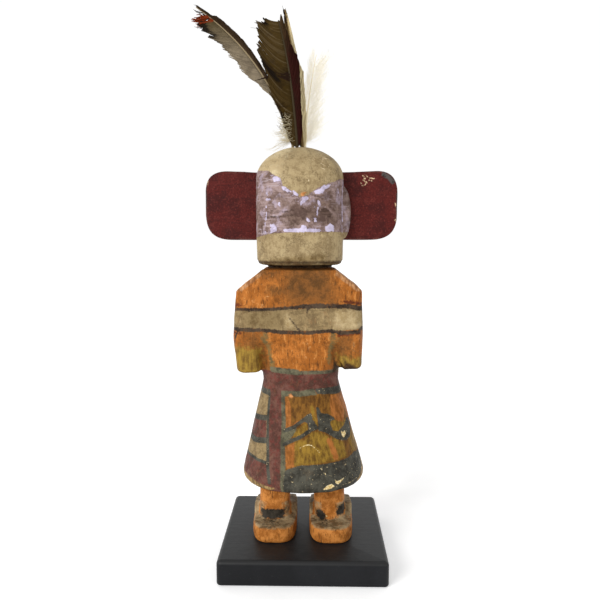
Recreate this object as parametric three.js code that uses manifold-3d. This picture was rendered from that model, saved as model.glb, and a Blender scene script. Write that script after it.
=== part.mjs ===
// A carved and painted wooden doll with two paddle ears and a crest of feathers, on a black block.
// Millimetres, +Z up. The origin is the centre of the block's underside. The doll's face looks
// along +Y, so its back is towards -Y, and "left" and "right" are as seen from behind, at -X and +X.
import * as THREE from "three";
import { mergeVertices } from "three/addons/utils/BufferGeometryUtils.js";
import Module from "manifold-3d";

const wasm = await Module();
wasm.setup();

// Block
const blockWidth = 102;
const blockDepth = 102;
const blockHeight = 15.25;
const blockTopRound = 2.75;
const blockFootRound = 1.25;
const blockCornerRadius = 3;

// Heights up the figure, each one stacked on the one before
const legHeight = 35;
const skirtHeight = 64.5;
const torsoHeight = 70.5;
const neckHeight = 2.5;
const headHeight = 73.5;

// Feet and legs
const footWidth = 27.8;
const footLength = 55;
const footCentreY = -0.5;
const heelHeight = 9.7;
const instepHeight = 15.8;
const toeHeight = 12;
const toeRound = 4;
const instepRun = 2;
const footEdgeRound = 1.2;
const footGap = 8.2;
const legWidth = 19.6;
const legDepth = 19;
const legSpacing = 35.1;
const legCentreY = -4;

// Skirt
const hemWidth = 78.2;
const hemDepth = 75;
const hemRound = 5;
const waistWidth = 47.8;
const waistDepth = 42;
const waistSquareness = 2.8;
const hemSquareness = 2.15;

// Torso and arms
const neckWidth = 44.7;
const neckDepth = 44;
const shoulderWidth = 77.2;
const shoulderDrop = 13;
const shoulderBevel = 1.8;
const armSpan = 81;
const armSpanDrop = 42;
const elbowSpan = 78.8;
const armThickness = 16.5;
const armDepth = 46;
const armSquareness = 4.6;
const shoulderSquareness = 5.5;
const armSink = 8;
const chestDepth = 48;
const trunkWidth = 53;
const trunkDepth = 46;
const trunkSquareness = 3.4;
const elbowDepth = 43;
const leftElbowRise = 6.4;
const rightElbowRise = 8.9;
const elbowRound = 1.6;
const grooveTop = 27;
const grooveRunOut = 12;
const notchWidth = 4.6;
const notchHeight = 12;
const forearmRadius = 7.6;
const wristRadius = 5.6;
const forearmRise = 6;
const handWidth = 14;
const handHeight = 12.5;
const handThickness = 8;

// Head
const headWidth = 54.9;
const headDepth = 52;
const chinWidth = 54;
const chinRound = 3;
const cheekRise = 22;
const domeHeight = 20;
const domeExponent = 1.9;
const headSquareness = 2.7;
const neckInset = 2.4;

// Sideways places of the figure's middle, which leans a little towards -X as it goes up
const footMiddleX = -0.4;
const legMiddleX = -1.1;
const hemMiddleX = -0.2;
const waistMiddleX = -2.1;
const chestMiddleX = -2.7;
const armMiddleX = -3.6;
const headMiddleX = -2.6;

// Ears, let into slots in the head's sides
const leftEarReach = 32.2;
const rightEarReach = 33.9;
const earHeight = 42.2;
const earThickness = 3.6;
const earEdgeRound = 0.6;
const earSlotDepth = 5;
const earCentreAboveChin = 36.5;
const earTopRadius = 12.5;
const earLowRadius = 15.5;
const earFlare = 1;
const rootHeight = 33;
const rootWidth = 9;
const rootDepth = 8;

// Feathers, each in its own drilled hole in the crown, in a row from back to front
const quillRadius = 1.1;
const quillTipRadius = 0.4;
const quillSunk = 9;
const quillClearance = 0.35;
const holeWall = 0.6;
const vaneThickness = 0.8;
const bareQuill = 1.5;

// Each feather's hole from the middle of the block, how far its tip leans sideways, rises and
// stands forward of the hole's mouth, and the reach of its vane where that is widest.
const brokenHoleX = -4.2;
const brokenLean = -11.2;
const brokenRise = 75;
const brokenForward = -3;
const brokenVane = 16.4;
const curvedHoleX = -7;
const curvedLean = -59.5;
const curvedRise = 85;
const curvedForward = 0;
const curvedVane = 9.4;
const creamHoleX = -1;
const creamLean = -11;
const creamRise = 85;
const creamForward = 2;
const creamVane = 5;
const downHoleX = 0.6;
const downLean = 7;
const downRise = 60;
const downForward = 6;
const downVane = 11.5;

// Clearance that is left where one separate piece sits in another
const fitGap = 0.3;

const soleZ = blockHeight;
const hemZ = soleZ + legHeight;
const waistZ = hemZ + skirtHeight;
const neckZ = waistZ + torsoHeight;
const chinZ = neckZ + neckHeight;
const crownZ = chinZ + headHeight;
const earZ = chinZ + earCentreAboveChin;

const mix = THREE.MathUtils.lerp;

// Turns a closed three.js geometry into a solid that can be joined and cut.
function toSolid(geometry) {
  const bare = new THREE.BufferGeometry();
  bare.setAttribute("position", geometry.getAttribute("position").clone());
  bare.setIndex(geometry.getIndex());
  const merged = mergeVertices(bare, 1e-4);
  return new wasm.Manifold(new wasm.Mesh({
    numProp: 3,
    vertProperties: Float32Array.from(merged.getAttribute("position").array),
    triVerts: Uint32Array.from(merged.getIndex().array),
  }));
}

// Turns a finished solid into a named mesh of the given colour.
function toMesh(name, solid, material) {
  const made = solid.getMesh();
  const geometry = new THREE.BufferGeometry();
  geometry.setAttribute("position", new THREE.BufferAttribute(made.vertProperties, 3));
  geometry.setIndex(new THREE.BufferAttribute(made.triVerts, 1));
  geometry.computeVertexNormals();
  const mesh = new THREE.Mesh(geometry, material);
  mesh.name = name;
  return mesh;
}

function joined(solids) {
  return solids.reduce((whole, solid) => whole.add(solid));
}

// Moves every vertex of a geometry by a function of its place.
function reshape(geometry, move) {
  const position = geometry.getAttribute("position");
  const point = new THREE.Vector3();
  for (let i = 0; i < position.count; i += 1) {
    point.fromBufferAttribute(position, i);
    move(point);
    position.setXYZ(i, point.x, point.y, point.z);
  }
  return geometry;
}

// A point of a superellipse: exponent 2 is an ellipse, and more makes it squarer.
function squircle(angle, halfWidth, halfDepth, exponent) {
  const onAxis = 1e-6;
  const reach = (value) => {
    const size = Math.abs(value);
    return size < onAxis ? 0 : Math.sign(value) * size ** (2 / exponent);
  };
  return [halfWidth * reach(Math.cos(angle)), halfDepth * reach(Math.sin(angle))];
}

// An upright solid with a superellipse section at each level, as profile(z) gives it.
function column(levels, profile, sides) {
  const last = levels.length - 1;
  const tube = new THREE.CylinderGeometry(1, 1, last, sides, last);
  tube.rotateX(Math.PI / 2);
  return toSolid(reshape(tube, (point) => {
    const z = levels[Math.round(point.z + last / 2)];
    const section = profile(z);
    const onRim = Math.hypot(point.x, point.y) > 0.5 ? 1 : 0;
    const angle = Math.atan2(point.y, point.x);
    const [x, y] = squircle(angle, section.width / 2, section.depth / 2, section.exponent);
    point.set(section.x + onRim * x, section.y + onRim * y, z);
  }));
}

// A solid of round section along a curve, with radius(t) from 0 to 1 along it.
function limb(curve, radius, sides, steps) {
  const tube = new THREE.CylinderGeometry(1, 1, steps, sides, steps);
  const frames = curve.computeFrenetFrames(steps, false);
  return toSolid(reshape(tube, (point) => {
    const step = Math.round(steps / 2 - point.y);
    const centre = curve.getPointAt(step / steps);
    const size = radius(step / steps);
    const across = frames.normals[step].clone().multiplyScalar(point.x * size);
    const along = frames.binormals[step].clone().multiplyScalar(point.z * size);
    point.copy(centre).add(across).add(along);
  }));
}

// An outline in the X-Z plane given a thickness along Y, from nearY to farY.
function slab(outline, nearY, farY) {
  const solid = new THREE.ExtrudeGeometry(outline, { depth: farY - nearY, bevelEnabled: false });
  solid.rotateX(Math.PI / 2);
  solid.translate(0, farY, 0);
  return toSolid(solid);
}

// An outline in the Y-Z plane given a width along X.
function crossSlab(outline, leftX, rightX) {
  const solid = new THREE.ExtrudeGeometry(outline, { depth: rightX - leftX, bevelEnabled: false });
  solid.rotateX(Math.PI / 2);
  solid.rotateZ(Math.PI / 2);
  solid.translate(leftX, 0, 0);
  return toSolid(solid);
}

function outlineOf(points) {
  return new THREE.Shape(points.map(([x, y]) => new THREE.Vector2(x, y)));
}

// Evenly spaced numbers from low to high, both included.
function spread(low, high, count) {
  return Array.from({ length: count }, (_, i) => mix(low, high, i / (count - 1)));
}

// Section of the head: nearly upright sides, a rounded chin edge and a domed crown.
function headProfile(z) {
  const domeZ = crownZ - domeHeight;
  const side = mix(chinWidth, headWidth, THREE.MathUtils.smoothstep(z, chinZ, chinZ + cheekRise));
  let scale = 1;
  if (z > domeZ) {
    const up = Math.min(1, (z - domeZ) / domeHeight);
    scale = Math.max(0.02, (1 - up ** domeExponent) ** (1 / domeExponent));
  }
  const fromChin = Math.min(1, (z - chinZ) / chinRound);
  const cut = chinRound * (1 - Math.sqrt(1 - (1 - fromChin) ** 2));
  return {
    x: headMiddleX,
    y: 0,
    width: side * scale - 2 * cut,
    depth: side * (headDepth / headWidth) * scale - 2 * cut,
    exponent: headSquareness,
  };
}

function head() {
  const domeZ = crownZ - domeHeight;
  const chin = [0, 0.25, 0.6, 1].map((share) => chinZ + chinRound * share);
  const cheeks = spread(chinZ + 3 * chinRound, domeZ - domeHeight / 5, 4);
  const dome = spread(0, Math.PI / 2, 11).map((angle) => domeZ + domeHeight * Math.sin(angle));
  return column([...chin, ...cheeks, ...dome], headProfile, 44);
}

// The short neck, set in under the head so that a dark gap shows all round.
function neck() {
  const overlap = 2 * neckHeight;
  return column([neckZ - overlap, chinZ + overlap], () => ({
    x: headMiddleX,
    y: 0,
    width: neckWidth - 2 * neckInset,
    depth: neckDepth - 4 * neckInset,
    exponent: 3,
  }), 24);
}

// Outline of the shoulders and upper arms, as sawn from behind.
function yokeOutline(bottomZ) {
  const side = (way) => [
    [armMiddleX + way * (armSpan - shoulderBevel) / 2, bottomZ],
    [armMiddleX + way * armSpan / 2, neckZ - armSpanDrop],
    [chestMiddleX + way * shoulderWidth / 2, neckZ - shoulderDrop],
    [chestMiddleX + way * neckWidth / 2, neckZ],
  ];
  return outlineOf([...side(1), ...side(-1).reverse()]);
}

// Shoulders and upper back: the sawn outline with its edges bevelled and its upright corners
// rounded, thinning out below, between the arms.
function yoke() {
  const grooveZ = waistZ + grooveTop;
  const bottomZ = grooveZ - grooveRunOut;
  const sawn = new THREE.ExtrudeGeometry(yokeOutline(bottomZ), {
    depth: chestDepth - 2 * shoulderBevel,
    bevelThickness: shoulderBevel,
    bevelSize: shoulderBevel,
    bevelOffset: -shoulderBevel,
    bevelSegments: 1,
  });
  sawn.rotateX(Math.PI / 2);
  sawn.translate(0, chestDepth / 2 - shoulderBevel, 0);
  const depths = new Map([
    [bottomZ - shoulderBevel, chestDepth * 0.5],
    [grooveZ, chestDepth * 0.97],
    [neckZ - shoulderDrop, chestDepth],
    [neckZ + shoulderBevel, neckDepth],
  ]);
  const rounded = column([...depths.keys()], (z) => ({
    x: armMiddleX,
    y: 0,
    width: armSpan + shoulderBevel / 2,
    depth: depths.get(z),
    exponent: shoulderSquareness,
  }), 44);
  return toSolid(sawn).intersect(rounded);
}

function elbowZ(way) {
  return waistZ + (way < 0 ? leftElbowRise : rightElbowRise);
}

// Upper arm, from the squared-off elbow up into the shoulder, where it is as deep as the back.
function upperArm(way) {
  const bottomZ = elbowZ(way);
  const widestZ = neckZ - armSpanDrop;
  const topZ = neckZ - shoulderDrop - armSink;
  const place = (x, width, depth, tuck) => ({
    x: x - way * (armThickness / 2),
    y: 0,
    width: width - 2 * tuck,
    depth: depth - 2 * tuck,
    exponent: armSquareness,
  });
  const elbowX = chestMiddleX + way * elbowSpan / 2;
  const widestX = armMiddleX + way * armSpan / 2;
  const sections = new Map([
    [bottomZ, place(elbowX, armThickness, elbowDepth, elbowRound)],
    [bottomZ + elbowRound, place(elbowX, armThickness, elbowDepth, 0)],
    [widestZ, place(widestX, armThickness, armDepth, 0)],
    [topZ, place(widestX - way * shoulderBevel, armThickness, armDepth, shoulderBevel)],
  ]);
  return column([...sections.keys()], (z) => sections.get(z), 24);
}

// A small undercut between the right elbow and the waist.
function elbowNotch() {
  const cut = new THREE.SphereGeometry(1, 10, 8);
  cut.scale(notchWidth / 2, elbowDepth * 0.22, notchHeight / 2);
  cut.rotateY(-0.2);
  cut.translate(waistMiddleX + waistWidth / 2 + notchWidth / 8, -elbowDepth / 2, waistZ + rightElbowRise);
  return toSolid(cut);
}

// Forearm bent forward from the elbow, with the hand laid flat on the belly.
function forearm(way) {
  const z = waistZ + rightElbowRise + forearmRise;
  const bellyY = mix(waistDepth, chestDepth, 0.4) / 2;
  const elbowX = chestMiddleX + way * (elbowSpan - armThickness) / 2;
  const handX = chestMiddleX + way * handWidth * 0.6;
  const curve = new THREE.CatmullRomCurve3([
    new THREE.Vector3(elbowX, bellyY * 0.3, z - 1),
    new THREE.Vector3(elbowX - way * 1, bellyY * 0.85, z),
    new THREE.Vector3(mix(elbowX, handX, 0.4), bellyY + forearmRadius * 0.3, z + 1),
    new THREE.Vector3(handX, bellyY + wristRadius * 0.25, z + 2.5),
  ]);
  const arm = limb(curve, (t) => mix(forearmRadius, wristRadius, t), 12, 8);
  const palm = new THREE.SphereGeometry(1, 14, 8);
  palm.scale(handWidth / 2, handThickness / 2, handHeight / 2);
  palm.translate(handX - way * 0.4, bellyY + handThickness * 0.3, z + 3);
  return arm.add(toSolid(palm));
}

// Skirt, trunk, shoulders and arms.
function torso() {
  const masses = [body(), yoke(), upperArm(-1), upperArm(1), forearm(-1), forearm(1)];
  return joined(masses).subtract(elbowNotch());
}

// Section of the skirt, a straight-sided bell with its lower edge rounded under, and above the
// waist of the trunk between the arms.
function bodyProfile(z) {
  const up = Math.min(1, Math.max(0, (z - hemZ - hemRound) / (skirtHeight - hemRound)));
  const above = Math.max(0, z - waistZ) / grooveTop;
  const tuck = Math.max(0, 1 - (z - hemZ) / hemRound);
  const cut = hemRound * 0.6 * (1 - Math.sqrt(1 - Math.min(1, tuck) ** 2));
  return {
    x: mix(mix(hemMiddleX, waistMiddleX, up), chestMiddleX, above),
    y: 0,
    width: mix(mix(hemWidth, waistWidth, up), trunkWidth, above) - 2 * cut,
    depth: mix(mix(hemDepth, waistDepth, up), trunkDepth, above) - 2 * cut,
    exponent: mix(mix(hemSquareness, waistSquareness, up), trunkSquareness, Math.min(1, above)),
  };
}

// Skirt and trunk, up to inside the shoulders.
function body() {
  const hem = [0, 0.12, 0.35, 0.65, 1].map((share) => hemZ + hemRound * share);
  const bell = spread(hemZ + skirtHeight / 4, waistZ, 5);
  return column([...hem, ...bell, waistZ + grooveTop / 3, waistZ + grooveTop], bodyProfile, 40);
}

function footX(way) {
  return footMiddleX + way * (footWidth + footGap) / 2;
}

// Leg post, from inside the foot to inside the skirt.
function leg(way) {
  const into = heelHeight / 2;
  return column([soleZ + heelHeight - into, hemZ + into], () => ({
    x: legMiddleX + way * legSpacing / 2,
    y: legCentreY,
    width: legWidth,
    depth: legDepth,
    exponent: 3,
  }), 24);
}

// Block foot: a low heel ledge, a raised instep in front of the leg, and a lower toe.
function foot(way) {
  const heelY = footCentreY - footLength / 2;
  const toeY = footCentreY + footLength / 2;
  const shinY = legCentreY + legDepth / 2;
  const top = 1.1 * Math.max(heelHeight, instepHeight, toeHeight);
  const side = outlineOf([
    [heelY, soleZ],
    [toeY, soleZ],
    [toeY, soleZ + toeHeight - toeRound],
    [toeY - toeRound * 0.4, soleZ + toeHeight - toeRound * 0.4],
    [toeY - toeRound, soleZ + toeHeight],
    [mix(toeY, shinY, 0.5), soleZ + mix(toeHeight, instepHeight, 0.75)],
    [shinY + instepRun, soleZ + instepHeight],
    [legCentreY + 1.5 * instepRun, soleZ + instepHeight],
    [legCentreY, soleZ + heelHeight],
    [heelY + footEdgeRound * 2, soleZ + heelHeight],
    [heelY + footEdgeRound * 0.4, soleZ + heelHeight - footEdgeRound * 0.5],
    [heelY, soleZ + heelHeight - footEdgeRound * 1.6],
  ]);
  const sole = column([soleZ, soleZ + footEdgeRound, soleZ + top], (z) => ({
    x: footX(way),
    y: footCentreY,
    width: footWidth - (z === soleZ ? footEdgeRound : 0),
    depth: footLength - (z === soleZ ? footEdgeRound : 0),
    exponent: 3.4,
  }), 36);
  return sole.intersect(crossSlab(side, -blockWidth, blockWidth));
}

// Outline of one paddle ear, growing a little towards its outer end, with rounded outer corners.
function earOutline(way, grow) {
  const inner = headWidth / 2 - earSlotDepth - grow;
  const outer = headWidth / 2 + (way < 0 ? leftEarReach : rightEarReach) + grow;
  const half = earHeight / 2 + grow;
  const low = -half;
  const high = half + earFlare;
  const shape = new THREE.Shape();
  shape.moveTo(way * inner, low);
  shape.lineTo(way * (outer - earLowRadius), low);
  shape.quadraticCurveTo(way * outer, low, way * outer, low + earLowRadius);
  shape.lineTo(way * outer, high - earTopRadius);
  shape.quadraticCurveTo(way * outer, high, way * (outer - earTopRadius), high);
  shape.lineTo(way * inner, half);
  shape.closePath();
  return shape;
}

function ear(way) {
  const flat = earThickness - 2 * earEdgeRound;
  const board = new THREE.ExtrudeGeometry(earOutline(way, -earEdgeRound), {
    depth: flat,
    bevelThickness: earEdgeRound,
    bevelSize: earEdgeRound,
    bevelSegments: 2,
    curveSegments: 10,
  });
  board.rotateX(Math.PI / 2);
  board.translate(headMiddleX, flat / 2, earZ);
  return toSolid(board);
}

// The slot in the head that an ear is let into, wider than the ear by the fitting gap.
function earSlot(way) {
  const outline = earOutline(way, fitGap);
  const slot = slab(outline, -earThickness / 2 - fitGap, earThickness / 2 + fitGap);
  return slot.translate([headMiddleX, 0, earZ]);
}

// Lump of filler that beds the right ear against the head, behind the ear.
function earRoot() {
  const lump = new THREE.SphereGeometry(1, 16, 10);
  const behindEar = -earThickness / 2 - fitGap - rootDepth * 0.42;
  lump.scale(rootWidth / 2, rootDepth / 2, rootHeight / 2);
  lump.translate(headMiddleX + headWidth / 2, behindEar, earZ - rootHeight / 8);
  return toSolid(lump);
}

// Each feather leaves its hole upwards and bends over, and "bend" is where along its lean and rise
// the curve is pulled to. Its vanes are stations of share along the feather, then reach to the left
// and to the right as shares of its widest vane.
const feathers = [
  {
    name: "feather_broken",
    row: 0,
    holeX: brokenHoleX,
    lean: brokenLean,
    rise: brokenRise,
    forward: brokenForward,
    vane: brokenVane,
    bend: [0.3, 0.64],
    vanes: [
      [0.03, 0.18, 0.18], [0.15, 0.43, 0.24], [0.3, 0.72, 0.24], [0.55, 0.9, 0.41],
      [0.72, 1, 0.34], [0.85, 0.94, 0.2], [1, 0.98, 0.15],
    ],
    colour: 0x4b4324,
  },
  {
    name: "feather_curved",
    row: 1,
    holeX: curvedHoleX,
    lean: curvedLean,
    rise: curvedRise,
    forward: curvedForward,
    vane: curvedVane,
    bend: [0.24, 0.64],
    vanes: [
      [0.05, 0.17, 0.15], [0.3, 0.36, 0.21], [0.42, 0.72, 0.26], [0.65, 0.81, 0.39],
      [0.86, 1, 0.34], [0.95, 0.64, 0.17], [1, 0.11, 0.06],
    ],
    colour: 0x8a8170,
  },
  {
    name: "feather_cream",
    row: 2,
    holeX: creamHoleX,
    lean: creamLean,
    rise: creamRise,
    forward: creamForward,
    vane: creamVane,
    bend: [0.2, 0.46],
    vanes: [
      [0.04, 0.32, 0.32], [0.27, 0.8, 0.8], [0.5, 0.9, 1],
      [0.66, 0.68, 0.52], [0.93, 0.32, 0.2], [1, 0.1, 0.08],
    ],
    colour: 0xd8c9a0,
  },
  {
    name: "feather_down",
    row: 3,
    holeX: downHoleX,
    lean: downLean,
    rise: downRise,
    forward: downForward,
    vane: downVane,
    bend: [0.16, 0.5],
    vanes: [
      [0.04, 0.14, 0.17], [0.23, 0.35, 0.74], [0.41, 0.39, 1],
      [0.6, 0.35, 0.85], [0.8, 0.26, 0.52], [1, 0.07, 0.09],
    ],
    colour: 0xf1efe6,
  },
];

// Place of a feather's hole: a row from back to front over the crown.
function holeXY(feather) {
  const spacing = 2 * (quillRadius + quillClearance) + holeWall;
  return [feather.holeX, (feather.row - (feathers.length - 1) / 2) * spacing];
}

// Height of the dome's surface at a place near its middle.
function crownAt(x, y) {
  const across = Math.abs(x - headMiddleX) / (headWidth / 2);
  const along = Math.abs(y) / (headDepth / 2);
  const share = (across ** headSquareness + along ** headSquareness) ** (1 / headSquareness);
  return crownZ - domeHeight * (1 - (1 - share ** domeExponent) ** (1 / domeExponent));
}

// The quill's middle line, from the bottom of the hole to the feather's tip.
function quillCurve(feather) {
  const [x, y] = holeXY(feather);
  const z = crownAt(x, y);
  const mouth = new THREE.Vector3(x, y, z + bareQuill);
  const { lean, rise, bend, forward } = feather;
  const path = new THREE.CurvePath();
  path.add(new THREE.LineCurve3(new THREE.Vector3(x, y, z - quillSunk), mouth));
  path.add(new THREE.QuadraticBezierCurve3(
    mouth,
    new THREE.Vector3(x + lean * bend[0], y + forward * 0.3, z + rise * bend[1]),
    new THREE.Vector3(x + lean, y + forward, z + rise),
  ));
  return path;
}

// How far a vane reaches from the quill at a share along the feather, on side 1 or 2.
function vaneReach(feather, share, side) {
  const next = feather.vanes.findIndex((station) => station[0] >= share);
  if (next === 0) {
    return quillRadius;
  }
  const [low, high] = [feather.vanes[next - 1], feather.vanes[next]];
  return feather.vane * mix(low[side], high[side], (share - low[0]) / (high[0] - low[0]));
}

// One feather: an eight-sided blade along the quill, thick in the middle and sharp at both edges,
// that becomes the bare round quill where it enters the head.
function featherSolid(feather) {
  const steps = 26;
  const sunkSteps = 2;
  const curve = quillCurve(feather);
  const mouthShare = curve.curves[0].getLength() / curve.getLength();
  const facing = new THREE.Vector3(0, 1, 0);
  const sides = 8;
  const tube = new THREE.CylinderGeometry(1, 1, steps, sides, steps);
  return toSolid(reshape(tube, (point) => {
    const step = Math.round(steps / 2 - point.y);
    const share = Math.max(0, (step - sunkSteps) / (steps - sunkSteps));
    const along = step < sunkSteps ? mouthShare * step / sunkSteps : mix(mouthShare, 1, share);
    const bare = share === 0;
    const thick = mix(quillRadius, quillTipRadius, share);
    const reach = bare ? quillRadius : vaneReach(feather, share, point.x < 0 ? 1 : 2);
    const diagonal = Math.abs(Math.abs(point.x) - Math.SQRT1_2) < 0.1;
    const lift = diagonal && !bare ? Math.sign(point.z) * vaneThickness / 2 : point.z * thick;
    const sideways = new THREE.Vector3().crossVectors(facing, curve.getTangentAt(along)).normalize();
    const across = sideways.multiplyScalar(point.x * reach);
    point.copy(curve.getPointAt(along)).add(across).addScaledVector(facing, lift);
  }));
}

function featherHole(feather) {
  const [x, y] = holeXY(feather);
  const radius = quillRadius + quillClearance;
  const bottom = crownAt(x, y) - quillSunk - fitGap;
  const top = crownZ + quillSunk;
  const bore = new THREE.CylinderGeometry(radius, radius, top - bottom, 12);
  bore.rotateX(Math.PI / 2);
  bore.translate(x, y, (top + bottom) / 2);
  return toSolid(bore);
}

// The doll, carved from one root, with the slots and holes that its added pieces sit in.
function figure() {
  const masses = [
    torso(), neck(), head(), earRoot(), leg(-1), leg(1), foot(-1), foot(1),
  ];
  const cuts = [earSlot(-1), earSlot(1), ...feathers.map(featherHole)];
  return cuts.reduce((whole, cut) => whole.subtract(cut), joined(masses));
}

// A block with rounded corners and one rounded edge, at the top or at the foot.
function roundedBlock(edge, bottomZ, topZ) {
  const shape = new THREE.Shape();
  const right = blockWidth / 2 - edge;
  const back = blockDepth / 2 - edge;
  const radius = Math.max(0.2, blockCornerRadius - edge);
  shape.moveTo(-right + radius, -back);
  shape.lineTo(right - radius, -back);
  shape.absarc(right - radius, -back + radius, radius, -Math.PI / 2, 0);
  shape.absarc(right - radius, back - radius, radius, 0, Math.PI / 2);
  shape.absarc(-right + radius, back - radius, radius, Math.PI / 2, Math.PI);
  shape.absarc(-right + radius, -back + radius, radius, Math.PI, Math.PI * 1.5);
  const solid = new THREE.ExtrudeGeometry(shape, {
    depth: topZ - bottomZ - 2 * edge,
    bevelThickness: edge,
    bevelSize: edge,
    bevelSegments: 4,
    curveSegments: 4,
  });
  solid.translate(0, 0, bottomZ + edge);
  return toSolid(solid);
}

function block() {
  const spare = blockHeight;
  const roundTop = roundedBlock(blockTopRound, -spare, blockHeight);
  const roundFoot = roundedBlock(blockFootRound, 0, blockHeight + spare);
  return roundTop.intersect(roundFoot);
}

function paint(colour, roughness) {
  return new THREE.MeshStandardMaterial({ color: colour, roughness, metalness: 0 });
}

const doll = new THREE.Group();
doll.add(toMesh("carved_figure", figure(), paint(0xb8702f, 0.55)));
doll.add(toMesh("ear_left", ear(-1), paint(0x5e1815, 0.5)));
doll.add(toMesh("ear_right", ear(1), paint(0x5e1815, 0.5)));
doll.add(toMesh("base_block", block(), paint(0x1d1f21, 0.45)));
for (const feather of feathers) {
  doll.add(toMesh(feather.name, featherSolid(feather), paint(feather.colour, 0.7)));
}

export default doll;
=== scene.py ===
# %% [markdown]
# # An old carved doll, seen from behind
# The real object is a doll carved from one piece of soft root wood, painted with earth colours that
# have worn, with two thin red paddle ears, a few feathers in its crown and a black block under it.
# The measured model gives every piece its place and size. This lesson dresses that model: it makes
# the carved surface uneven, lays the paint on in coats, and builds the feathers barb by barb.

# %% Load the measured model
import math

import bmesh
import bpy
import numpy as np
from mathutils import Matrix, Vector, noise


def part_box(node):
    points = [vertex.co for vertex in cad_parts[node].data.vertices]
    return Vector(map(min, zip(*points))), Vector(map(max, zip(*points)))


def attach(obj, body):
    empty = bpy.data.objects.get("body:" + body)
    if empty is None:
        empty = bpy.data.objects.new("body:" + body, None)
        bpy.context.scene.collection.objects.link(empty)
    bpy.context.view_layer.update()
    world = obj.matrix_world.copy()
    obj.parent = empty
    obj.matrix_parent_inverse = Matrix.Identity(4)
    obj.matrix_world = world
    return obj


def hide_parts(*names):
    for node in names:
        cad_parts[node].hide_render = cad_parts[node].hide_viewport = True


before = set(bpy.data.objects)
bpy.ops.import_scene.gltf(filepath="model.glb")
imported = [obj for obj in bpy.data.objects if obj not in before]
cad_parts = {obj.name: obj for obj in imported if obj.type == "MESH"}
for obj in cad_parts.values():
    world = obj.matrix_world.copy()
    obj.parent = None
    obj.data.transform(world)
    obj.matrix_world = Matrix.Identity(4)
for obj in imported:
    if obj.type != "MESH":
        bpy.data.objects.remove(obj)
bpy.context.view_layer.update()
MM = 0.001
scene = bpy.context.scene

# %% [markdown]
# ## The view
# A photographer stood about 42 cm behind the doll, with the lens level with its neck and tipped five
# degrees down. A lens of 40 mm gives the block the same slant of its sides, so near and far parts
# keep their true proportions. No depth of field is used, so that every view stays sharp.

# %% Camera
LENS_TIP = 84.72
LENS_TURN = 1.25
lens_place = Vector((6.7, -423.0, 203.9)) * MM
camera = bpy.data.objects.new("camera", bpy.data.cameras.new("camera"))
camera.data.lens = 39.73
camera.data.sensor_width = 36.0
camera.data.clip_start = 0.01
camera.location = lens_place
camera.rotation_euler = (math.radians(LENS_TIP), 0.0, math.radians(LENS_TURN))
scene.collection.objects.link(camera)
scene.camera = camera
scene.view_settings.view_transform = "Standard"
print("camera", round(lens_place.length / MM), "mm from the block's middle")

# %% [markdown]
# ## Small helpers
# Three things come back in every step. A colour is noted as the hex value that a painter would read
# off a screen, and the shader needs it as linear light. A finish is built up as a painter does it,
# a ground with washes and coats over it. A finished mesh is linked and rides on the model.

# %% Colours and nodes
def linear(code):
    """Turns an sRGB hex value such as "b8702f" into linear red, green, blue and alpha."""
    parts = [int(code[i:i + 2], 16) / 255 for i in (0, 2, 4)]
    return [p / 12.92 if p <= 0.04045 else ((p + 0.055) / 1.055) ** 2.4 for p in parts] + [1.0]


def add_node(tree, kind, inputs=None, give=0, **settings):
    """Adds a node with its settings, sets or links its inputs, and gives one of its outputs."""
    node = tree.nodes.new("ShaderNode" + kind)
    for name, value in settings.items():
        setattr(node, name, value)
    for key, value in (inputs or {}).items():
        if isinstance(value, bpy.types.NodeSocket):
            tree.links.new(value, node.inputs[key])
        elif isinstance(value, str):
            node.inputs[key].default_value = linear(value)
        else:
            node.inputs[key].default_value = value
    return node.outputs[give]


print("tan in linear light", [round(v, 2) for v in linear("b39e78")])


# %% A finish, built up in layers
# The wear noise lies round 0.5, so a coat is rubbed through where it falls below these two values
WORN_THROUGH = 0.38
STILL_WHOLE = 0.46


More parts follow.
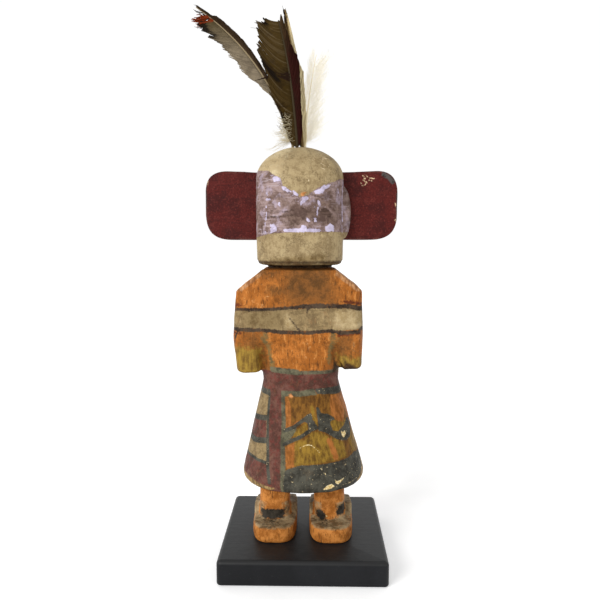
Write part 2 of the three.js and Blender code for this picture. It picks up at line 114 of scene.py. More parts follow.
class Finish:
    """A material that is built up from a ground colour with washes, coats and relief over it."""

    def __init__(self, name, ground, roughness, specular):
        self.material = bpy.data.materials.new(name)
        self.material.use_nodes = True
        self.tree = self.material.node_tree
        self.shader = self.tree.nodes["Principled BSDF"]
        self.shader.inputs["Roughness"].default_value = roughness
        self.shader.inputs["Specular IOR Level"].default_value = specular
        place = add_node(self.tree, "TexCoord", give="Object")
        self.in_mm = add_node(self.tree, "VectorMath", {0: place, 1: (1000, 1000, 1000)},
                              operation="MULTIPLY")
        self.colour = ground
        self.fray = 0.0
        self.wear = 1.0

    def glow(self, code, strength):
        """Makes the thing glow with its own light: painted light, standing in for light that passes
        through thin or very white things.
        """
        self.shader.inputs["Emission Color"].default_value = linear(code)
        self.shader.inputs["Emission Strength"].default_value = strength

    def patches(self, size, detail=3.0, stretch=(1, 1, 1), rough=0.5):
        """Uneven patches about `size` millimetres across, longer where they are stretched."""
        place = add_node(self.tree, "Mapping", {"Vector": self.in_mm,
                                                "Scale": [1 / (size * s) for s in stretch]})
        return add_node(self.tree, "TexNoise", {"Vector": place, "Scale": 1.0, "Detail": detail,
                                                "Roughness": rough})

    def wash(self, over, amount, low, high, strength=1.0, within=None):
        """Lays a colour over the one so far, more as the amount goes from low to high."""
        share = add_node(self.tree, "MapRange", {"Value": amount, "From Min": low, "From Max": high,
                                                 "To Max": strength}, interpolation_type="SMOOTHSTEP")
        if within:
            share = add_node(self.tree, "Math", {0: share, 1: within}, operation="MULTIPLY")
        self.colour = add_node(self.tree, "Mix", {0: share, 6: self.colour, 7: over}, give=2,
                               data_type="RGBA")
        return share

    def coat(self, mark, dark, light, tone, contrast=(0.4, 0.6), soft=0.2, ragged=1.0, worn=0.0):
        """Lays on a coat inside its mark, in two tones, with a frayed edge and worn places."""
        depth = add_node(self.tree, "Attribute", give="Fac", attribute_name=mark)
        edge = add_node(self.tree, "Math", {0: self.fray, 1: ragged, 2: depth},
                        operation="MULTIPLY_ADD")
        under = self.colour
        self.colour = dark
        self.wash(light, tone, *contrast)
        rubbed = add_node(self.tree, "MapRange", {"Value": self.wear, "From Min": WORN_THROUGH,
                                                  "From Max": STILL_WHOLE, "To Min": 1 - worn})
        paint = self.colour
        self.colour = under
        return self.wash(paint, edge, -soft, soft, within=rubbed)

    def finished(self, *reliefs):
        """Links the colour and the relief, given as layers and their heights in millimetres."""
        height = 0.0
        for layer, rise in reliefs:
            height = add_node(self.tree, "Math", {0: layer, 1: rise, 2: height},
                              operation="MULTIPLY_ADD")
        if reliefs:
            bump = add_node(self.tree, "Bump", {"Strength": 1.0, "Distance": MM, "Height": height})
            self.tree.links.new(bump, self.shader.inputs["Normal"])
        self.tree.links.new(self.colour, self.shader.inputs["Base Color"])
        print(self.material.name, len(self.tree.nodes), "nodes")
        return self.material


print("a coat is whole from a wear of", STILL_WHOLE)


# %% Meshes and pieces
def to_mesh(bm, name):
    """Writes a bmesh into a new mesh and frees it."""
    mesh = bpy.data.meshes.new(name)
    bm.to_mesh(mesh)
    bm.free()
    return mesh


def new_piece(name, mesh, material, slot, *nodes):
    """Links a finished mesh as a piece that stands for the named nodes of the model."""
    mesh.materials.clear()
    mesh.materials.append(material)
    piece = bpy.data.objects.new(name, mesh)
    scene.collection.objects.link(piece)
    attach(piece, "root")
    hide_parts(*nodes)
    print(name, len(mesh.polygons), "faces")


def merged_copy(node_name):
    """A closed mesh made from a copy of one of the model's nodes."""
    bm = bmesh.new()
    bm.from_mesh(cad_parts[node_name].data)
    bmesh.ops.remove_doubles(bm, verts=bm.verts, dist=1e-6)
    return to_mesh(bm, node_name + "_worked")


print("nodes to dress", sorted(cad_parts))


# %% Numbers of a mesh
def rows_of(mesh, what):
    """Three numbers for each vertex, such as its place or its normal."""
    flat = np.empty(len(mesh.vertices) * 3)
    mesh.vertices.foreach_get(what, flat)
    return flat.reshape(-1, 3)


def places_of(mesh):
    """The mesh's vertices in millimetres, one row each."""
    return rows_of(mesh, "co") / MM


def keep_places(mesh, places):
    """Writes places in millimetres back into the mesh."""
    mesh.vertices.foreach_set("co", (places * MM).ravel())
    mesh.update()


def keep_values(mesh, name, values):
    """Stores one number for each vertex under a name that a material can read."""
    layer = mesh.attributes.new(name, "FLOAT", "POINT")
    layer.data.foreach_set("value", np.asarray(values, np.float32))


print("figure of the model", len(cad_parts["carved_figure"].data.vertices), "points")

# %% [markdown]
# ## The carved surface
# The wood was worked with a knife and a rasp, so no face is truly flat: each cut leaves a shallow
# hollow a few millimetres wide, longer along the grain. Sculpting by hand would do it, and so would
# a displacement texture, but that is lost in an export. Here a copy of the model is given an even
# skin, and every vertex is moved a little along its normal by the depth of the nearest knife cut.

# %% An even skin
def even_skin(node_name, cell, passes=2):
    """A copy of a node remade with even faces of the given size, and relaxed a few times."""
    holder = bpy.data.objects.new("holder", merged_copy(node_name))
    scene.collection.objects.link(holder)
    remake = holder.modifiers.new("even", "REMESH")
    remake.mode = "VOXEL"
    remake.voxel_size = cell
    remake.use_smooth_shade = True
    shown = holder.evaluated_get(bpy.context.evaluated_depsgraph_get())
    made = bpy.data.meshes.new_from_object(shown)
    bpy.data.objects.remove(holder)
    bm = bmesh.new()
    bm.from_mesh(made)
    for _ in range(passes):
        bmesh.ops.smooth_vert(bm, verts=bm.verts, factor=0.5, use_axis_x=True, use_axis_y=True,
                              use_axis_z=True)
    bm.to_mesh(made)
    bm.free()
    return made


SKIN_CELL = 0.93 * MM
doll_mesh = even_skin("carved_figure", SKIN_CELL)
print("even skin", len(doll_mesh.polygons), "faces")

# %% Knife cuts and rasp marks, in millimetres
SOLE_Z = 15.25
CHIN_Z = 187.75
CUT_WIDE = 8.5
CUT_TALL = 15.0
CUT_DEPTH = 0.42
HEAD_CUT_WIDER = 5
HEAD_CUT_SHALLOWER = 0.3
WAVE_SIZE = 24.0
WAVE_LIFT = 0.3
RASP_SIZE = 2.6
RASP_LIFT = 0.06


def knife_cut(place, wide, tall, depth):
    """Depth of the hollow that a point lies in, for cuts of the given width and height."""
    near = noise.voronoi(Vector((place[0] / wide, place[1] / wide, place[2] / tall)))[0]
    return depth * (near[0] * near[0] - 0.25)


def carved(places, normals):
    """Moves each point by its knife cut, by slow waves in the wood and by fine rasp marks."""
    moved = places.copy()
    for i, place in enumerate(places):
        x, y, z = place
        on_head = min(1.0, max(0.0, (z - CHIN_Z + 1) / 2))
        off_sole = min(1.0, max(0.0, (z - SOLE_Z - 0.6) / 3))
        lift = knife_cut(place, CUT_WIDE + HEAD_CUT_WIDER * on_head, CUT_TALL,
                         CUT_DEPTH - HEAD_CUT_SHALLOWER * on_head)
        lift += WAVE_LIFT * noise.noise(Vector((x, y, z)) / WAVE_SIZE)
        lift += RASP_LIFT * noise.noise(Vector((x, y, z * 0.5)) / RASP_SIZE)
        moved[i] += normals[i] * lift * off_sole
    return moved


doll_normals = rows_of(doll_mesh, "normal")
keep_places(doll_mesh, carved(places_of(doll_mesh), doll_normals))
print("cuts", CUT_WIDE, "mm wide and up to", CUT_DEPTH, "mm deep")

# %% The line above the chin, in millimetres
HEAD_MIDDLE_X = -2.6
LINE_ABOVE_CHIN = 2.0
LINE_DEPTH = 0.45
LINE_HALF_WIDTH = 0.9
NECK_REACH = 21


def chin_line(places, normals):
    """A shallow line scored round the mask just above its lower rim."""
    from_line = np.abs(places[:, 2] - CHIN_Z - LINE_ABOVE_CHIN)
    depth = LINE_DEPTH * np.clip(1 - from_line / LINE_HALF_WIDTH, 0, 1)
    depth[np.hypot(places[:, 0] - HEAD_MIDDLE_X, places[:, 1]) < NECK_REACH] = 0
    return places - normals * depth[:, None]


keep_places(doll_mesh, chin_line(places_of(doll_mesh), doll_normals))
doll_x, doll_y, doll_z = places_of(doll_mesh).T
print("figure", round(doll_z.max() - doll_z.min(), 1), "mm from soles to crown")

# %% [markdown]
# ## Where each paint lies
# The maker laid the patterns on with a brush: patches with an outline, and strokes with a width. A
# picture could hold them, but then it would have to fit the form. Here each mark is noted in
# millimetres on the doll, as a tape measure laid round it would read: first the way round from the
# middle of the back, then the height above the table. For every vertex the distance inside the
# nearest mark is stored, and the material turns that distance into a worn edge.

# %% A tape measure, with patches and strokes
FAR = 99.0


class Tape:
    """A tape laid on one part: each point's way along it, its height, and whether it is covered."""

    def __init__(self, way, height, covered=True):
        self.way = way
        self.height = height
        self.covered = covered

    def to_edge(self, first, second):
        """Distance from every point to one straight edge."""
        ax, ay = first
        dx, dy = second[0] - ax, second[1] - ay
        share = ((self.way - ax) * dx + (self.height - ay) * dy) / (dx * dx + dy * dy + 1e-9)
        share = np.clip(share, 0, 1)
        return np.hypot(self.way - ax - share * dx, self.height - ay - share * dy)

    def to_path(self, points):
        """Distance from every point to the nearest edge of a path."""
        return np.minimum.reduce([self.to_edge(*edge) for edge in zip(points, points[1:])])

    def stroke(self, width, *points):
        """How far inside a brush stroke of a given width each point lies."""
        return np.where(self.covered, width / 2 - self.to_path(points), -FAR)

    def patch(self, *corners):
        """How far inside a filled outline each point lies, or minus how far outside it."""
        closed = corners + corners[:1]
        nearest = self.to_path(closed)
        inside = np.zeros(len(self.way), bool)
        for (ax, ay), (bx, by) in zip(closed, closed[1:]):
            crosses = (ay > self.height) != (by > self.height)
            inside ^= crosses & (self.way < ax + (self.height - ay) * (bx - ax) / (by - ay or 1e-9))
        return np.where(self.covered, np.where(inside, nearest, -nearest), -FAR)


def both(*marks):
    """The part that lies inside every one of the marks."""
    return np.minimum.reduce(marks)


print("a point off the tape counts as", FAR, "mm away")

# %% Tapes round the head, torso, skirt and legs, in millimetres
WAIST_Z = 114.75
HEM_Z = 50.25
ARMS_MIDDLE_X = -2.7
ARM_INNER_X = 24.6
HEAD_RADIUS = 27
TORSO_HALF_WIDTH = 40
TORSO_HALF_DEPTH = 23
SKIRT_RADIUS = 32
SKIRT_TOP_Z = 126
SKIRT_LEAN = 1.9

from_head_middle = doll_x - HEAD_MIDDLE_X
from_arms_middle = doll_x - ARMS_MIDDLE_X
head = Tape(np.arctan2(from_head_middle, -doll_y) * HEAD_RADIUS, doll_z, doll_z > CHIN_Z - 1.2)
face = Tape(np.arctan2(from_head_middle, doll_y) * HEAD_RADIUS, doll_z,
            (doll_z > CHIN_Z) & (doll_y > 5))
torso = Tape(np.arctan2((doll_x + 3) / TORSO_HALF_WIDTH, -doll_y / TORSO_HALF_DEPTH) * TORSO_HALF_WIDTH,
             doll_z, (doll_z > WAIST_Z) & (doll_z < CHIN_Z))
up_skirt = np.clip((doll_z - HEM_Z - 5) / 59.5, 0, 1)
off_arms = (np.abs(from_arms_middle) < ARM_INNER_X) | (doll_z < WAIST_Z + 1)
skirt = Tape(np.arctan2(doll_x + 0.2 + SKIRT_LEAN * up_skirt, -doll_y) * SKIRT_RADIUS, doll_z,
             (doll_z > HEM_Z - 0.8) & (doll_z < SKIRT_TOP_Z) & off_arms)
legs = Tape(doll_x, doll_z, (doll_z < HEM_Z) & (doll_y < -2))
print("tapes cover", [int(tape.covered.sum()) for tape in (head, face, torso, skirt, legs)], "points")

# %% [markdown]
# ## Marks on the mask
# The mask is tan. A field across its back was scraped down to a mauve-brown ground, with a V-shaped
# upper border, and chips of the pale lavender paint that once filled it still cling along that
# border and its lower edge. The hidden front is kept plainer: two slit eyes and a small mouth.

# %% Scraped field and its lavender chips
scraped = [
    head.patch((-52, 225), (-48, 244), (-32.5, 245.5), (-19, 244.5), (-15.5, 242), (-12, 240.5),
               (-10.5, 238), (-9.5, 235), (-6, 233.5), (-2, 230.5), (0.5, 228.5), (4.5, 229.5),
               (9, 232.5), (12, 234.5), (19.5, 237.5), (27, 240), (48, 241), (52, 225), (48, 207),
               (34.5, 208), (0.5, 208), (-18, 207), (-24.5, 205.5), (-35.5, 204.5), (-48, 205)),
]
lavender = [
    head.patch((-16, 240), (-15, 241), (-13, 241), (-11, 239.5), (-11, 238), (-15, 237.5)),
    head.patch((-11, 235), (-9, 235), (-5.5, 233), (-5.5, 231), (-8, 232), (-10, 233.5)),
    head.patch((-4.5, 232.5), (-2.5, 232), (0, 230), (-1, 229), (-3, 230), (-4, 231.5)),
    head.patch((0.5, 225), (2, 226.5), (2, 228.5), (4.5, 229), (6, 228.5), (5.5, 227), (2.5, 225),
               (1, 223.5)),
    head.patch((9.5, 232), (10.5, 233), (12.5, 233.5), (13.5, 235), (15, 236), (16.5, 235.5),
               (19, 236.5), (18.5, 235), (15.5, 233), (14.5, 231), (12, 230.5), (10, 230.5)),
    head.patch((11.5, 226.5), (12.5, 226.5), (13.5, 223.5), (12.5, 223), (11, 225)),
    head.patch((-13, 225.3), (-12, 226), (-10.7, 224.5), (-11.5, 223), (-13, 224)),
    head.patch((4, 216.7), (5.5, 216.7), (7, 214.5), (6, 214), (4.5, 215)),
    head.patch((9, 216.3), (10.7, 216.5), (10.7, 214), (9.3, 214)),
    head.patch((-17.5, 212.5), (-15, 213), (-13.5, 210.5), (-13.5, 208.2), (-17.5, 207.4)),
    head.patch((16, 211), (19, 213.3), (21.5, 211.5), (22, 208.2), (16, 208)),
    head.patch((-10.5, 209), (-8.5, 210), (1.5, 210), (1, 211.5), (2, 212.2), (4.5, 212), (5, 209.8),
               (13, 210), (13.2, 208), (0.5, 207.8), (-8.5, 208)),
    head.stroke(0.9, (-19.8, 231.5), (-19.3, 230.3)),
    head.stroke(1.5, (-19.8, 227.6), (-17.6, 227.2)),
    head.stroke(0.8, (-20.3, 224), (-20.2, 222.6)),
    head.stroke(0.9, (-20.2, 219.8), (-20.6, 215.6)),
    head.stroke(0.9, (-21.2, 213.4), (-21.5, 211.6)),
    head.stroke(0.8, (-21.2, 208.2), (-20.6, 207)),
    head.stroke(0.5, (11.5, 222.5), (11, 217.5)),
    head.stroke(0.4, (8.6, 227), (9.6, 222)),
    head.stroke(0.8, (25, 234), (25.8, 231)),
    head.stroke(1.3, (31.8, 236), (31, 229), (31, 221), (31.6, 215)),
    head.stroke(1.0, (31, 212), (31.6, 208)),
    head.stroke(1.5, (-43, 236), (-42, 224)),
    head.stroke(1.3, (-44, 212), (-39, 208.5)),
]
print("lavender chips", len(lavender))

# %% Smudges, and the plain face in front
smudge = [
    head.patch((12.5, 220), (13.5, 222), (15.5, 222.7), (18, 221.5), (20, 219), (19.5, 216.5),
               (15, 217.7), (13.3, 218.3)),
    head.stroke(1.1, (-19.5, 216.7), (-13, 216.9), (-7.5, 217.5), (-2, 218)),
    head.stroke(0.8, (-17, 220.5), (-9, 220), (-3, 221)),
    head.stroke(0.9, (-1, 224), (5, 220), (10, 219.5)),
    head.stroke(0.7, (-8, 212.8), (0, 213.2)),
    head.stroke(0.9, (7.3, 230.2), (9.5, 229.5), (13, 229)),
    head.stroke(0.8, (-9, 233), (-6, 230.8), (-3, 229)),
    head.stroke(0.7, (-24, 212), (-23, 206)),
    head.stroke(4.5, (41.5, 233), (41, 224), (42, 215)) - 0.3,
    face.stroke(3.4, (-15, 227), (-7, 227)),
    face.stroke(3.4, (7, 227), (15, 227)),
    face.stroke(3.6, (-4, 211), (4, 211)),
]
print("smudges", len(smudge))

# %% [markdown]
# ## Marks on the torso, skirt and feet
# A khaki band with dark outlines crosses the back and both arms. A maroon belt and sash hang over a
# kilt of ochre and orange, with a dark stepped line across it and a broad dark hem, and the panel
# left of the sash has two maroon bars. The elbows are yellow, and the ankles carry black patches.

# %% Band across the back and arms
khaki = [
    torso.patch((-200, 160), (-60, 159), (-33.5, 160), (-20, 161), (-10, 162), (1, 161.5), (12, 162.5),
                (24, 162), (35, 161), (60, 160.5), (200, 160), (200, 149), (60, 149), (35, 149.5),
                (22, 148), (0, 148), (-15, 148.5), (-25, 149.5), (-33, 149), (-60, 150), (-200, 149)),
    skirt.patch((-74, 109), (-20, 109), (-14, 56), (-74, 56)),
]
outline = [
    torso.stroke(2.0, (-200, 161), (-60, 160), (-33, 161), (-20, 161), (-10, 161.7), (-3, 162.3),
                 (2.5, 163)),
    torso.stroke(2.8, (2.5, 163), (8, 163.2), (20, 163.3), (26, 163), (34.5, 161.8), (60, 161),
                 (200, 161)),
    torso.stroke(2.3, (-200, 148.5), (-60, 149), (-30, 148.6), (-20, 148.4), (-9, 147.2), (7, 147),
                 (18, 148), (24, 146.8), (30, 147.3), (35, 149), (60, 149), (200, 148.5)),
    torso.stroke(1.9, (-31, 148), (-32.5, 143.5), (-34.5, 139.5)) - 0.2,
    torso.stroke(3.6, (31, 162), (36, 161.6), (44, 161.4)) - 0.2,
    torso.stroke(0.8, (-5, 156), (-1.5, 151), (0.5, 148.5)),
    torso.stroke(1.4, (5.5, 161.5), (5.2, 159.5)),
]
print("band outlines", len(outline))

# %% Belt, sash and bars
maroon = [
    skirt.patch((-160, 123), (-37, 122), (-13, 123), (9, 122.5), (36, 121.5), (160, 122), (160, 109),
                (38, 109.5), (21.5, 110), (0, 110), (-15, 109.5), (-16, 110), (-14.9, 105),
                (-13.2, 93.5), (-12, 82), (-11.4, 70.5), (-11, 47), (-17.5, 47), (-19.2, 63.5),
                (-20.8, 75), (-22.8, 92.5), (-25.2, 104.5), (-27, 110), (-160, 110)),
    skirt.patch((-74, 91), (-46.5, 90), (-29.5, 92), (-25, 93), (-23, 81.5), (-32.5, 79.5), (-48, 79),
                (-74, 80)),
    skirt.patch((-74, 68), (-49, 67.5), (-33.5, 68), (-21.5, 67), (-18, 66), (-17.5, 47), (-74, 47)),
]
grey_green = [
    skirt.patch((-16.5, 110.5), (0, 110.5), (12, 112), (14, 108.5), (4, 107.5), (-2.5, 107),
                (-8, 107.5), (-16, 107.3)),
    skirt.stroke(2.9, (-14.6, 109), (-12.9, 99), (-11.9, 90), (-11.8, 79), (-10.9, 70), (-9.8, 49)),
    skirt.patch((-13.5, 87.5), (-9, 88), (-4, 90), (-3, 88), (-5.5, 84.5), (-10.5, 79.5), (-13, 81.5)),
    skirt.stroke(3.6, (-24, 123.4), (-10, 122.6), (-2, 122)),
    skirt.stroke(2.2, (-2, 121.8), (14, 122), (30, 122)),
    skirt.patch((-200, 57), (-74, 56), (-60, 56.5), (-60, 53), (-74, 52), (-200, 52)),
]
print("maroon and grey-green marks", len(maroon) + len(grey_green))

# %% Kilt and its ochre
kilt = [
    skirt.patch((-12.5, 109), (13, 109), (38, 108), (160, 110), (160, 48), (-11, 48)),
    skirt.patch((-160, 110), (-62, 109), (-60, 48), (-160, 48)),
]
ochre = [
    skirt.patch((20.5, 92.5), (24.5, 92.5), (32, 91), (36, 91), (32, 88.5), (28, 86.5), (24.5, 85),
                (21.5, 86.5)),
    skirt.patch((-3.5, 88), (-0.5, 90), (3, 91.5), (5, 91), (5, 84.5), (2, 84.5), (-4, 83.5),
                (-6.5, 85)),
    skirt.stroke(2.4, (9, 101), (9.8, 95), (11.5, 90)),
    skirt.patch((-3.5, 81.5), (2, 82), (7.5, 87), (12.5, 86.5), (18.5, 83), (28, 78.5), (28, 70),
                (10.5, 68.5), (-5, 67), (-6, 73.5)),
    skirt.patch((33, 79), (38.5, 84.5), (43, 78), (44, 70), (33.5, 71)),
]
print("ochre marks", len(ochre))

# %% Yellow elbows and hands, and rust-brown painted shadow beside the band
YELLOW_TOP_Z = 134.5
YELLOW_SLANT = 0.08
YELLOW_INNER_X = 23.5
HANDS_Y = 22.0
HANDS_TOP_Z = 142
HANDS_LOW_Z = 116
below_top = YELLOW_TOP_Z - YELLOW_SLANT * from_arms_middle - doll_z
yellow = [
    both(below_top, np.abs(from_arms_middle) - YELLOW_INNER_X, doll_z - WAIST_Z),
    both(doll_y - HANDS_Y, HANDS_TOP_Z - doll_z, doll_z - HANDS_LOW_Z),
]
# Rust-brown painted shadow along the band's outlines, down the shoulder slopes and on the hem
rust_shadow = [
    torso.stroke(2.6, (24, 166), (34, 164.5), (40, 164)) - 0.4,
    torso.stroke(2.6, (22, 145.5), (34, 147)) - 0.4,
    torso.stroke(2.4, (-30, 163.5), (-40, 163)) - 0.4,
    torso.stroke(2.4, (-30, 146), (-40, 147)) - 0.4,
    torso.stroke(3.0, (-24, 190), (-36, 184), (-44, 178)) - 0.9,
    torso.stroke(3.0, (22, 190), (34, 184), (42, 178)) - 0.9,
    skirt.stroke(2.4, (-13, 54.5), (10, 53.5)) - 0.3,
]
print("yellow and rust marks", len(yellow) + len(rust_shadow))

# %% Orange fields, charcoal lines and hem
orange = [
    skirt.patch((-13, 107.5), (-9.5, 106), (-7.5, 99.5), (-7, 90), (-11, 88), (-12, 96.5)),
    skirt.patch((24.5, 107.5), (38.5, 107), (40, 99), (31.5, 90.5), (26, 91.5), (22, 96)),
    skirt.patch((-10.5, 77.5), (-7, 79.5), (-4.5, 80.5), (-4.5, 66), (-9.5, 65.5)),
    skirt.stroke(3.5, (18, 81), (20, 71)),
    skirt.stroke(1.4, (-6.8, 88.8), (-2.5, 92.2)),
    skirt.patch((38.5, 107), (40, 102), (39.5, 95.5), (40.5, 90.5), (60, 86), (60, 107)),
]
spot = [
    head.patch((0.8, 230.5), (2.8, 231.6), (5, 231.4), (3.8, 229.9), (1.7, 229)),
    skirt.patch((-10.3, 108), (-8, 109), (-6, 107.2), (-7.5, 106), (-9.7, 106.8)),
]
charcoal = [
    skirt.stroke(2.3, (-11, 87.3), (-5, 89.3), (0, 92.5), (4.5, 95)),
    skirt.patch((1, 93.5), (5, 97), (8, 97.5), (8.5, 93.5), (4.5, 91.8)),
    skirt.stroke(2.2, (-10.8, 79.2), (-6, 81.7), (0, 84), (5.5, 87)),
    skirt.patch((4.5, 92.5), (7.5, 94), (9.5, 93), (12, 88.5), (10, 87.5), (5.5, 86.5)),
    skirt.patch((12, 101), (14, 101), (15, 97.5), (20, 96.5), (24, 94), (24.5, 92.5), (20.5, 92.5),
                (20.5, 90), (21.5, 86.5), (25, 85.5), (28, 87), (32, 88.5), (36, 91.5), (41, 91),
                (40, 84), (36, 80.5), (31, 79), (27.5, 79.5), (22.5, 81.5), (16, 86), (12, 87),
                (12, 94)),
    skirt.patch((-9.5, 48), (-10, 56.5), (-9.5, 64), (-8.5, 65), (-1.5, 67.5), (10.5, 68), (29, 69),
                (36, 70.5), (49.5, 68), (70, 67), (160, 67), (160, 48)),
    skirt.patch((-160, 67), (-74, 66), (-73, 48), (-160, 48)),
    skirt.patch((13, 112), (26, 112), (60, 111), (160, 111), (160, 107.5), (60, 107.5), (30, 107.5),
                (14, 108.8)),
    skirt.patch((-160, 111), (-40, 110.5), (-26, 110.5), (-24.5, 105), (-27, 107), (-60, 107.5),
                (-160, 107.5)),
    skirt.stroke(2.0, (-26.1, 108), (-24.9, 100), (-23.0, 88), (-21.4, 78), (-19.7, 66), (-17.7, 56)),
    skirt.stroke(3.2, (-60, 92.3), (-44, 91.3), (-26, 93.3)),
    skirt.stroke(3.4, (-60, 79), (-45, 78.5), (-32, 78.6), (-24, 80)),
    skirt.stroke(1.8, (-49, 67.7), (-33.5, 68.3), (-21.5, 67.3)),
]
print("orange and charcoal marks", len(orange) + len(charcoal))

# %% Ankle patches and worn heels
LEFT_LEG_X = -18.65
RIGHT_LEG_X = 16.45
LEGS_Y = -4
LEG_RADIUS = 10.6
HEEL_Z = 24.4
ANKLE_Z = 36
black = [
    legs.patch((-27.5, 31.5), (-15, 31.7), (-12, 31), (-12, 26), (-18, 25), (-27, 25.5)),
    legs.patch((8, 30.5), (11, 32), (14, 28.5), (15, 25.2), (10, 25.2), (8, 26.5)),
    legs.patch((21, 30.5), (22.5, 33.5), (25.8, 35.5), (27.5, 27.5), (21.5, 27.6)),
]
from_leg = np.minimum(np.hypot(doll_x - LEFT_LEG_X, doll_y - LEGS_Y),
                      np.hypot(doll_x - RIGHT_LEG_X, doll_y - LEGS_Y))
heel = [both(doll_z - HEEL_Z, from_leg - LEG_RADIUS, ANKLE_Z - doll_z)]
print("ankle marks", len(black))

# %% Chips, bare wood and scratches
chips = [
    skirt.patch((10.5, 53), (12.5, 55.7), (15.5, 56.2), (17, 54.5), (14, 53)),
    skirt.patch((17.3, 58.7), (18.5, 57.3), (20.5, 57.5), (23.7, 58.7), (21.5, 56.8), (19, 55.3),
                (17.5, 56.3)),
    skirt.patch((27.3, 85.7), (28.8, 84.2), (31, 85.2), (31.5, 83), (28.7, 80.8), (27.5, 82.5)),
    skirt.stroke(0.6, (12.3, 62.7), (12.6, 62)),
    skirt.stroke(0.6, (18.2, 67.7), (18.9, 67.5)),
    skirt.stroke(0.6, (10.3, 65.6), (11, 65.3)),
    skirt.stroke(0.6, (-5.8, 58.2), (-4.8, 57.8)),
    skirt.stroke(1.1, (20, 54), (27, 54.4), (33, 55.4)) - 0.35,
    skirt.stroke(1.2, (42, 57.5), (49, 60)) - 0.4,
    skirt.stroke(0.5, (-2, 77), (0.5, 78.4), (3.5, 79.2), (6, 79.2), (8.5, 77), (11, 74.3)),
    legs.patch((13.8, 28.3), (15.4, 28), (14.8, 25.6)),
]
bare = [
    skirt.patch((43, 88), (47, 88), (52, 70), (41, 70.5), (40, 77)) - 0.4,
    skirt.patch((-74, 58), (-49, 58.5), (-39, 56), (-30, 55.5), (-22.5, 54), (-14, 53), (-18, 51),
                (-74, 51)),
    skirt.patch((47, 63), (45, 58.5), (40, 57), (34, 54), (34, 51), (52, 51), (52, 62)),
]
scratches = [
    head.stroke(0.6, (16, 250), (18, 252.5), (20.5, 252)),
    head.stroke(0.5, (19, 247), (21, 249)),
    head.stroke(0.6, (10, 253.5), (11, 251)),
    head.stroke(0.5, (13.5, 249.5), (16.5, 247.5)),
    head.stroke(0.5, (14, 246), (17, 244.3)),
    head.stroke(0.6, (5.5, 239.5), (6, 237.8)),
]
print("chips and bare places", len(chips) + len(bare))

# %% [markdown]
# ## Soft stains and painted shade
# Not all of the colour is paint. Handling has darkened the middle of the back, and paint has worn
# thin where the doll is held. Shade is painted in as well: dark in the grooves beside the arms, under
# the mask and under the skirt, and darker on the right side of the mask. These have no edge, so they
# are stored as wide, soft distances.

# %% Stains from handling, and painted shade on the mask and in the arm grooves
smear = [
    torso.stroke(4.0, (-18.6, 146), (-19.2, 134), (-18.4, 124)) - 0.6,
    torso.stroke(3.6, (19.5, 147), (20.5, 137), (21, 128)) - 0.6,
]
grime = [
    head.stroke(17, (43, 234), (44, 211)) * 0.55,
    head.stroke(9, (-4, 216), (8, 219), (20, 215)) * 0.7,
    head.stroke(5, (12, 226), (24, 221)) * 0.6,
    head.stroke(3, (-12, 228), (2, 218)) * 0.6,
    head.stroke(3, (18, 230), (4, 218)) * 0.6,
]
# Painted shade: the mask is painted darker to the right of a line from its crown to its lower left, most
# at its top right, as the light falls from the left
mask_right_shade = [
    head.patch((-9, 262), (-13, 240), (-60, 206), (-60, 180), (60, 180), (60, 262)) * 0.3 - 0.6,
    head.patch((6, 262), (10, 240), (60, 240), (60, 262)) * 0.5 - 0.4,
]
# Darker along the lower rim of the mask, and just above it in the middle
lower_rim_darker = [
    head.stroke(5.5, (-85, 187.5), (85, 187.5)) * 0.6,
    head.stroke(5, (-15, 190), (14, 192)) * 0.6,
]
soil_and_groove_shade = [
    torso.patch((-8, 190), (19, 190), (20, 175), (21, 163), (-4, 163), (-9, 172)) * 0.3,
    # Painted shade in the grooves beside both arms
    torso.stroke(7, (-24, 143), (-24.5, 132), (-24.5, 120)) * 0.4,
    torso.stroke(7, (24, 141), (25, 131)) * 0.4,
    torso.stroke(5, (-14, 173), (-7, 172)) * 0.6,
    skirt.patch((-7.5, 106), (9.5, 106.5), (9.5, 99.5), (3.5, 97), (-2, 92.5), (-7, 90.5)) * 0.7,
    skirt.patch((12, 108), (23, 107.5), (21, 98), (14, 98)) * 0.7,
    torso.stroke(6, (-34, 190), (-18, 183), (-6, 182)) * 0.3 - 0.4,
]
dust = [
    torso.patch((20, 160.5), (36, 160), (36, 150), (24, 149), (20, 152)) * 0.6,
    torso.patch((-9, 156), (-6, 158.5), (-4, 155), (-1, 150), (-8, 149)) * 0.6,
]
dull = [torso.patch((-29, 160), (-10, 161), (-9, 150), (-29, 150)) * 0.4]
print("stains", len(grime) + len(mask_right_shade) + len(soil_and_groove_shade) + len(dust))

# %% Painted shade in the grooves, painted light on the legs, and wear and painted highlight on the shoulders
NECK_LINE_Z = 186.9
NECK_LINE_REACH = 30
SHOULDER_END_X = 36.9
SHOULDER_END_Z = 173.4
SHOULDER_SLOPE = 0.79
SLOPE_LENGTH = 1.27
from_middle = np.abs(from_head_middle)
# Painted shade: near black in the neck gap, in the line above the chin, in the hollow under the right arm
# and under the skirt's hem
crevice_shade = [
    both(1.3 - np.abs(doll_z - NECK_LINE_Z), NECK_LINE_REACH - from_middle),
    head.stroke(1.5, (-85, 189.6), (85, 189.6)) * 0.9,
    torso.patch((25.5, 131), (27, 128.3), (31, 125.3), (38, 123.6), (38, 121), (26, 121)),
    both(HEM_Z + 0.6 - doll_z, doll_z - 46),
]
flaking = [-np.abs(scraped[0] - 2.0)]
# Painted light: everything below the hem is painted lighter, for the light that reaches the legs and feet
# under the skirt
legs_painted_light = [HEM_Z + 0.4 - doll_z]
slope_z = SHOULDER_END_Z + SHOULDER_SLOPE * (SHOULDER_END_X - from_middle)
below_slope = (slope_z - doll_z) / SLOPE_LENGTH
# Wear and a painted highlight: a lighter band along the sloping tops of the shoulders
shoulder_wear_and_highlight = [both(2.3 - below_slope, doll_z - 172, 186 - doll_z, from_middle - 22)]
print("crevices", len(crevice_shade))

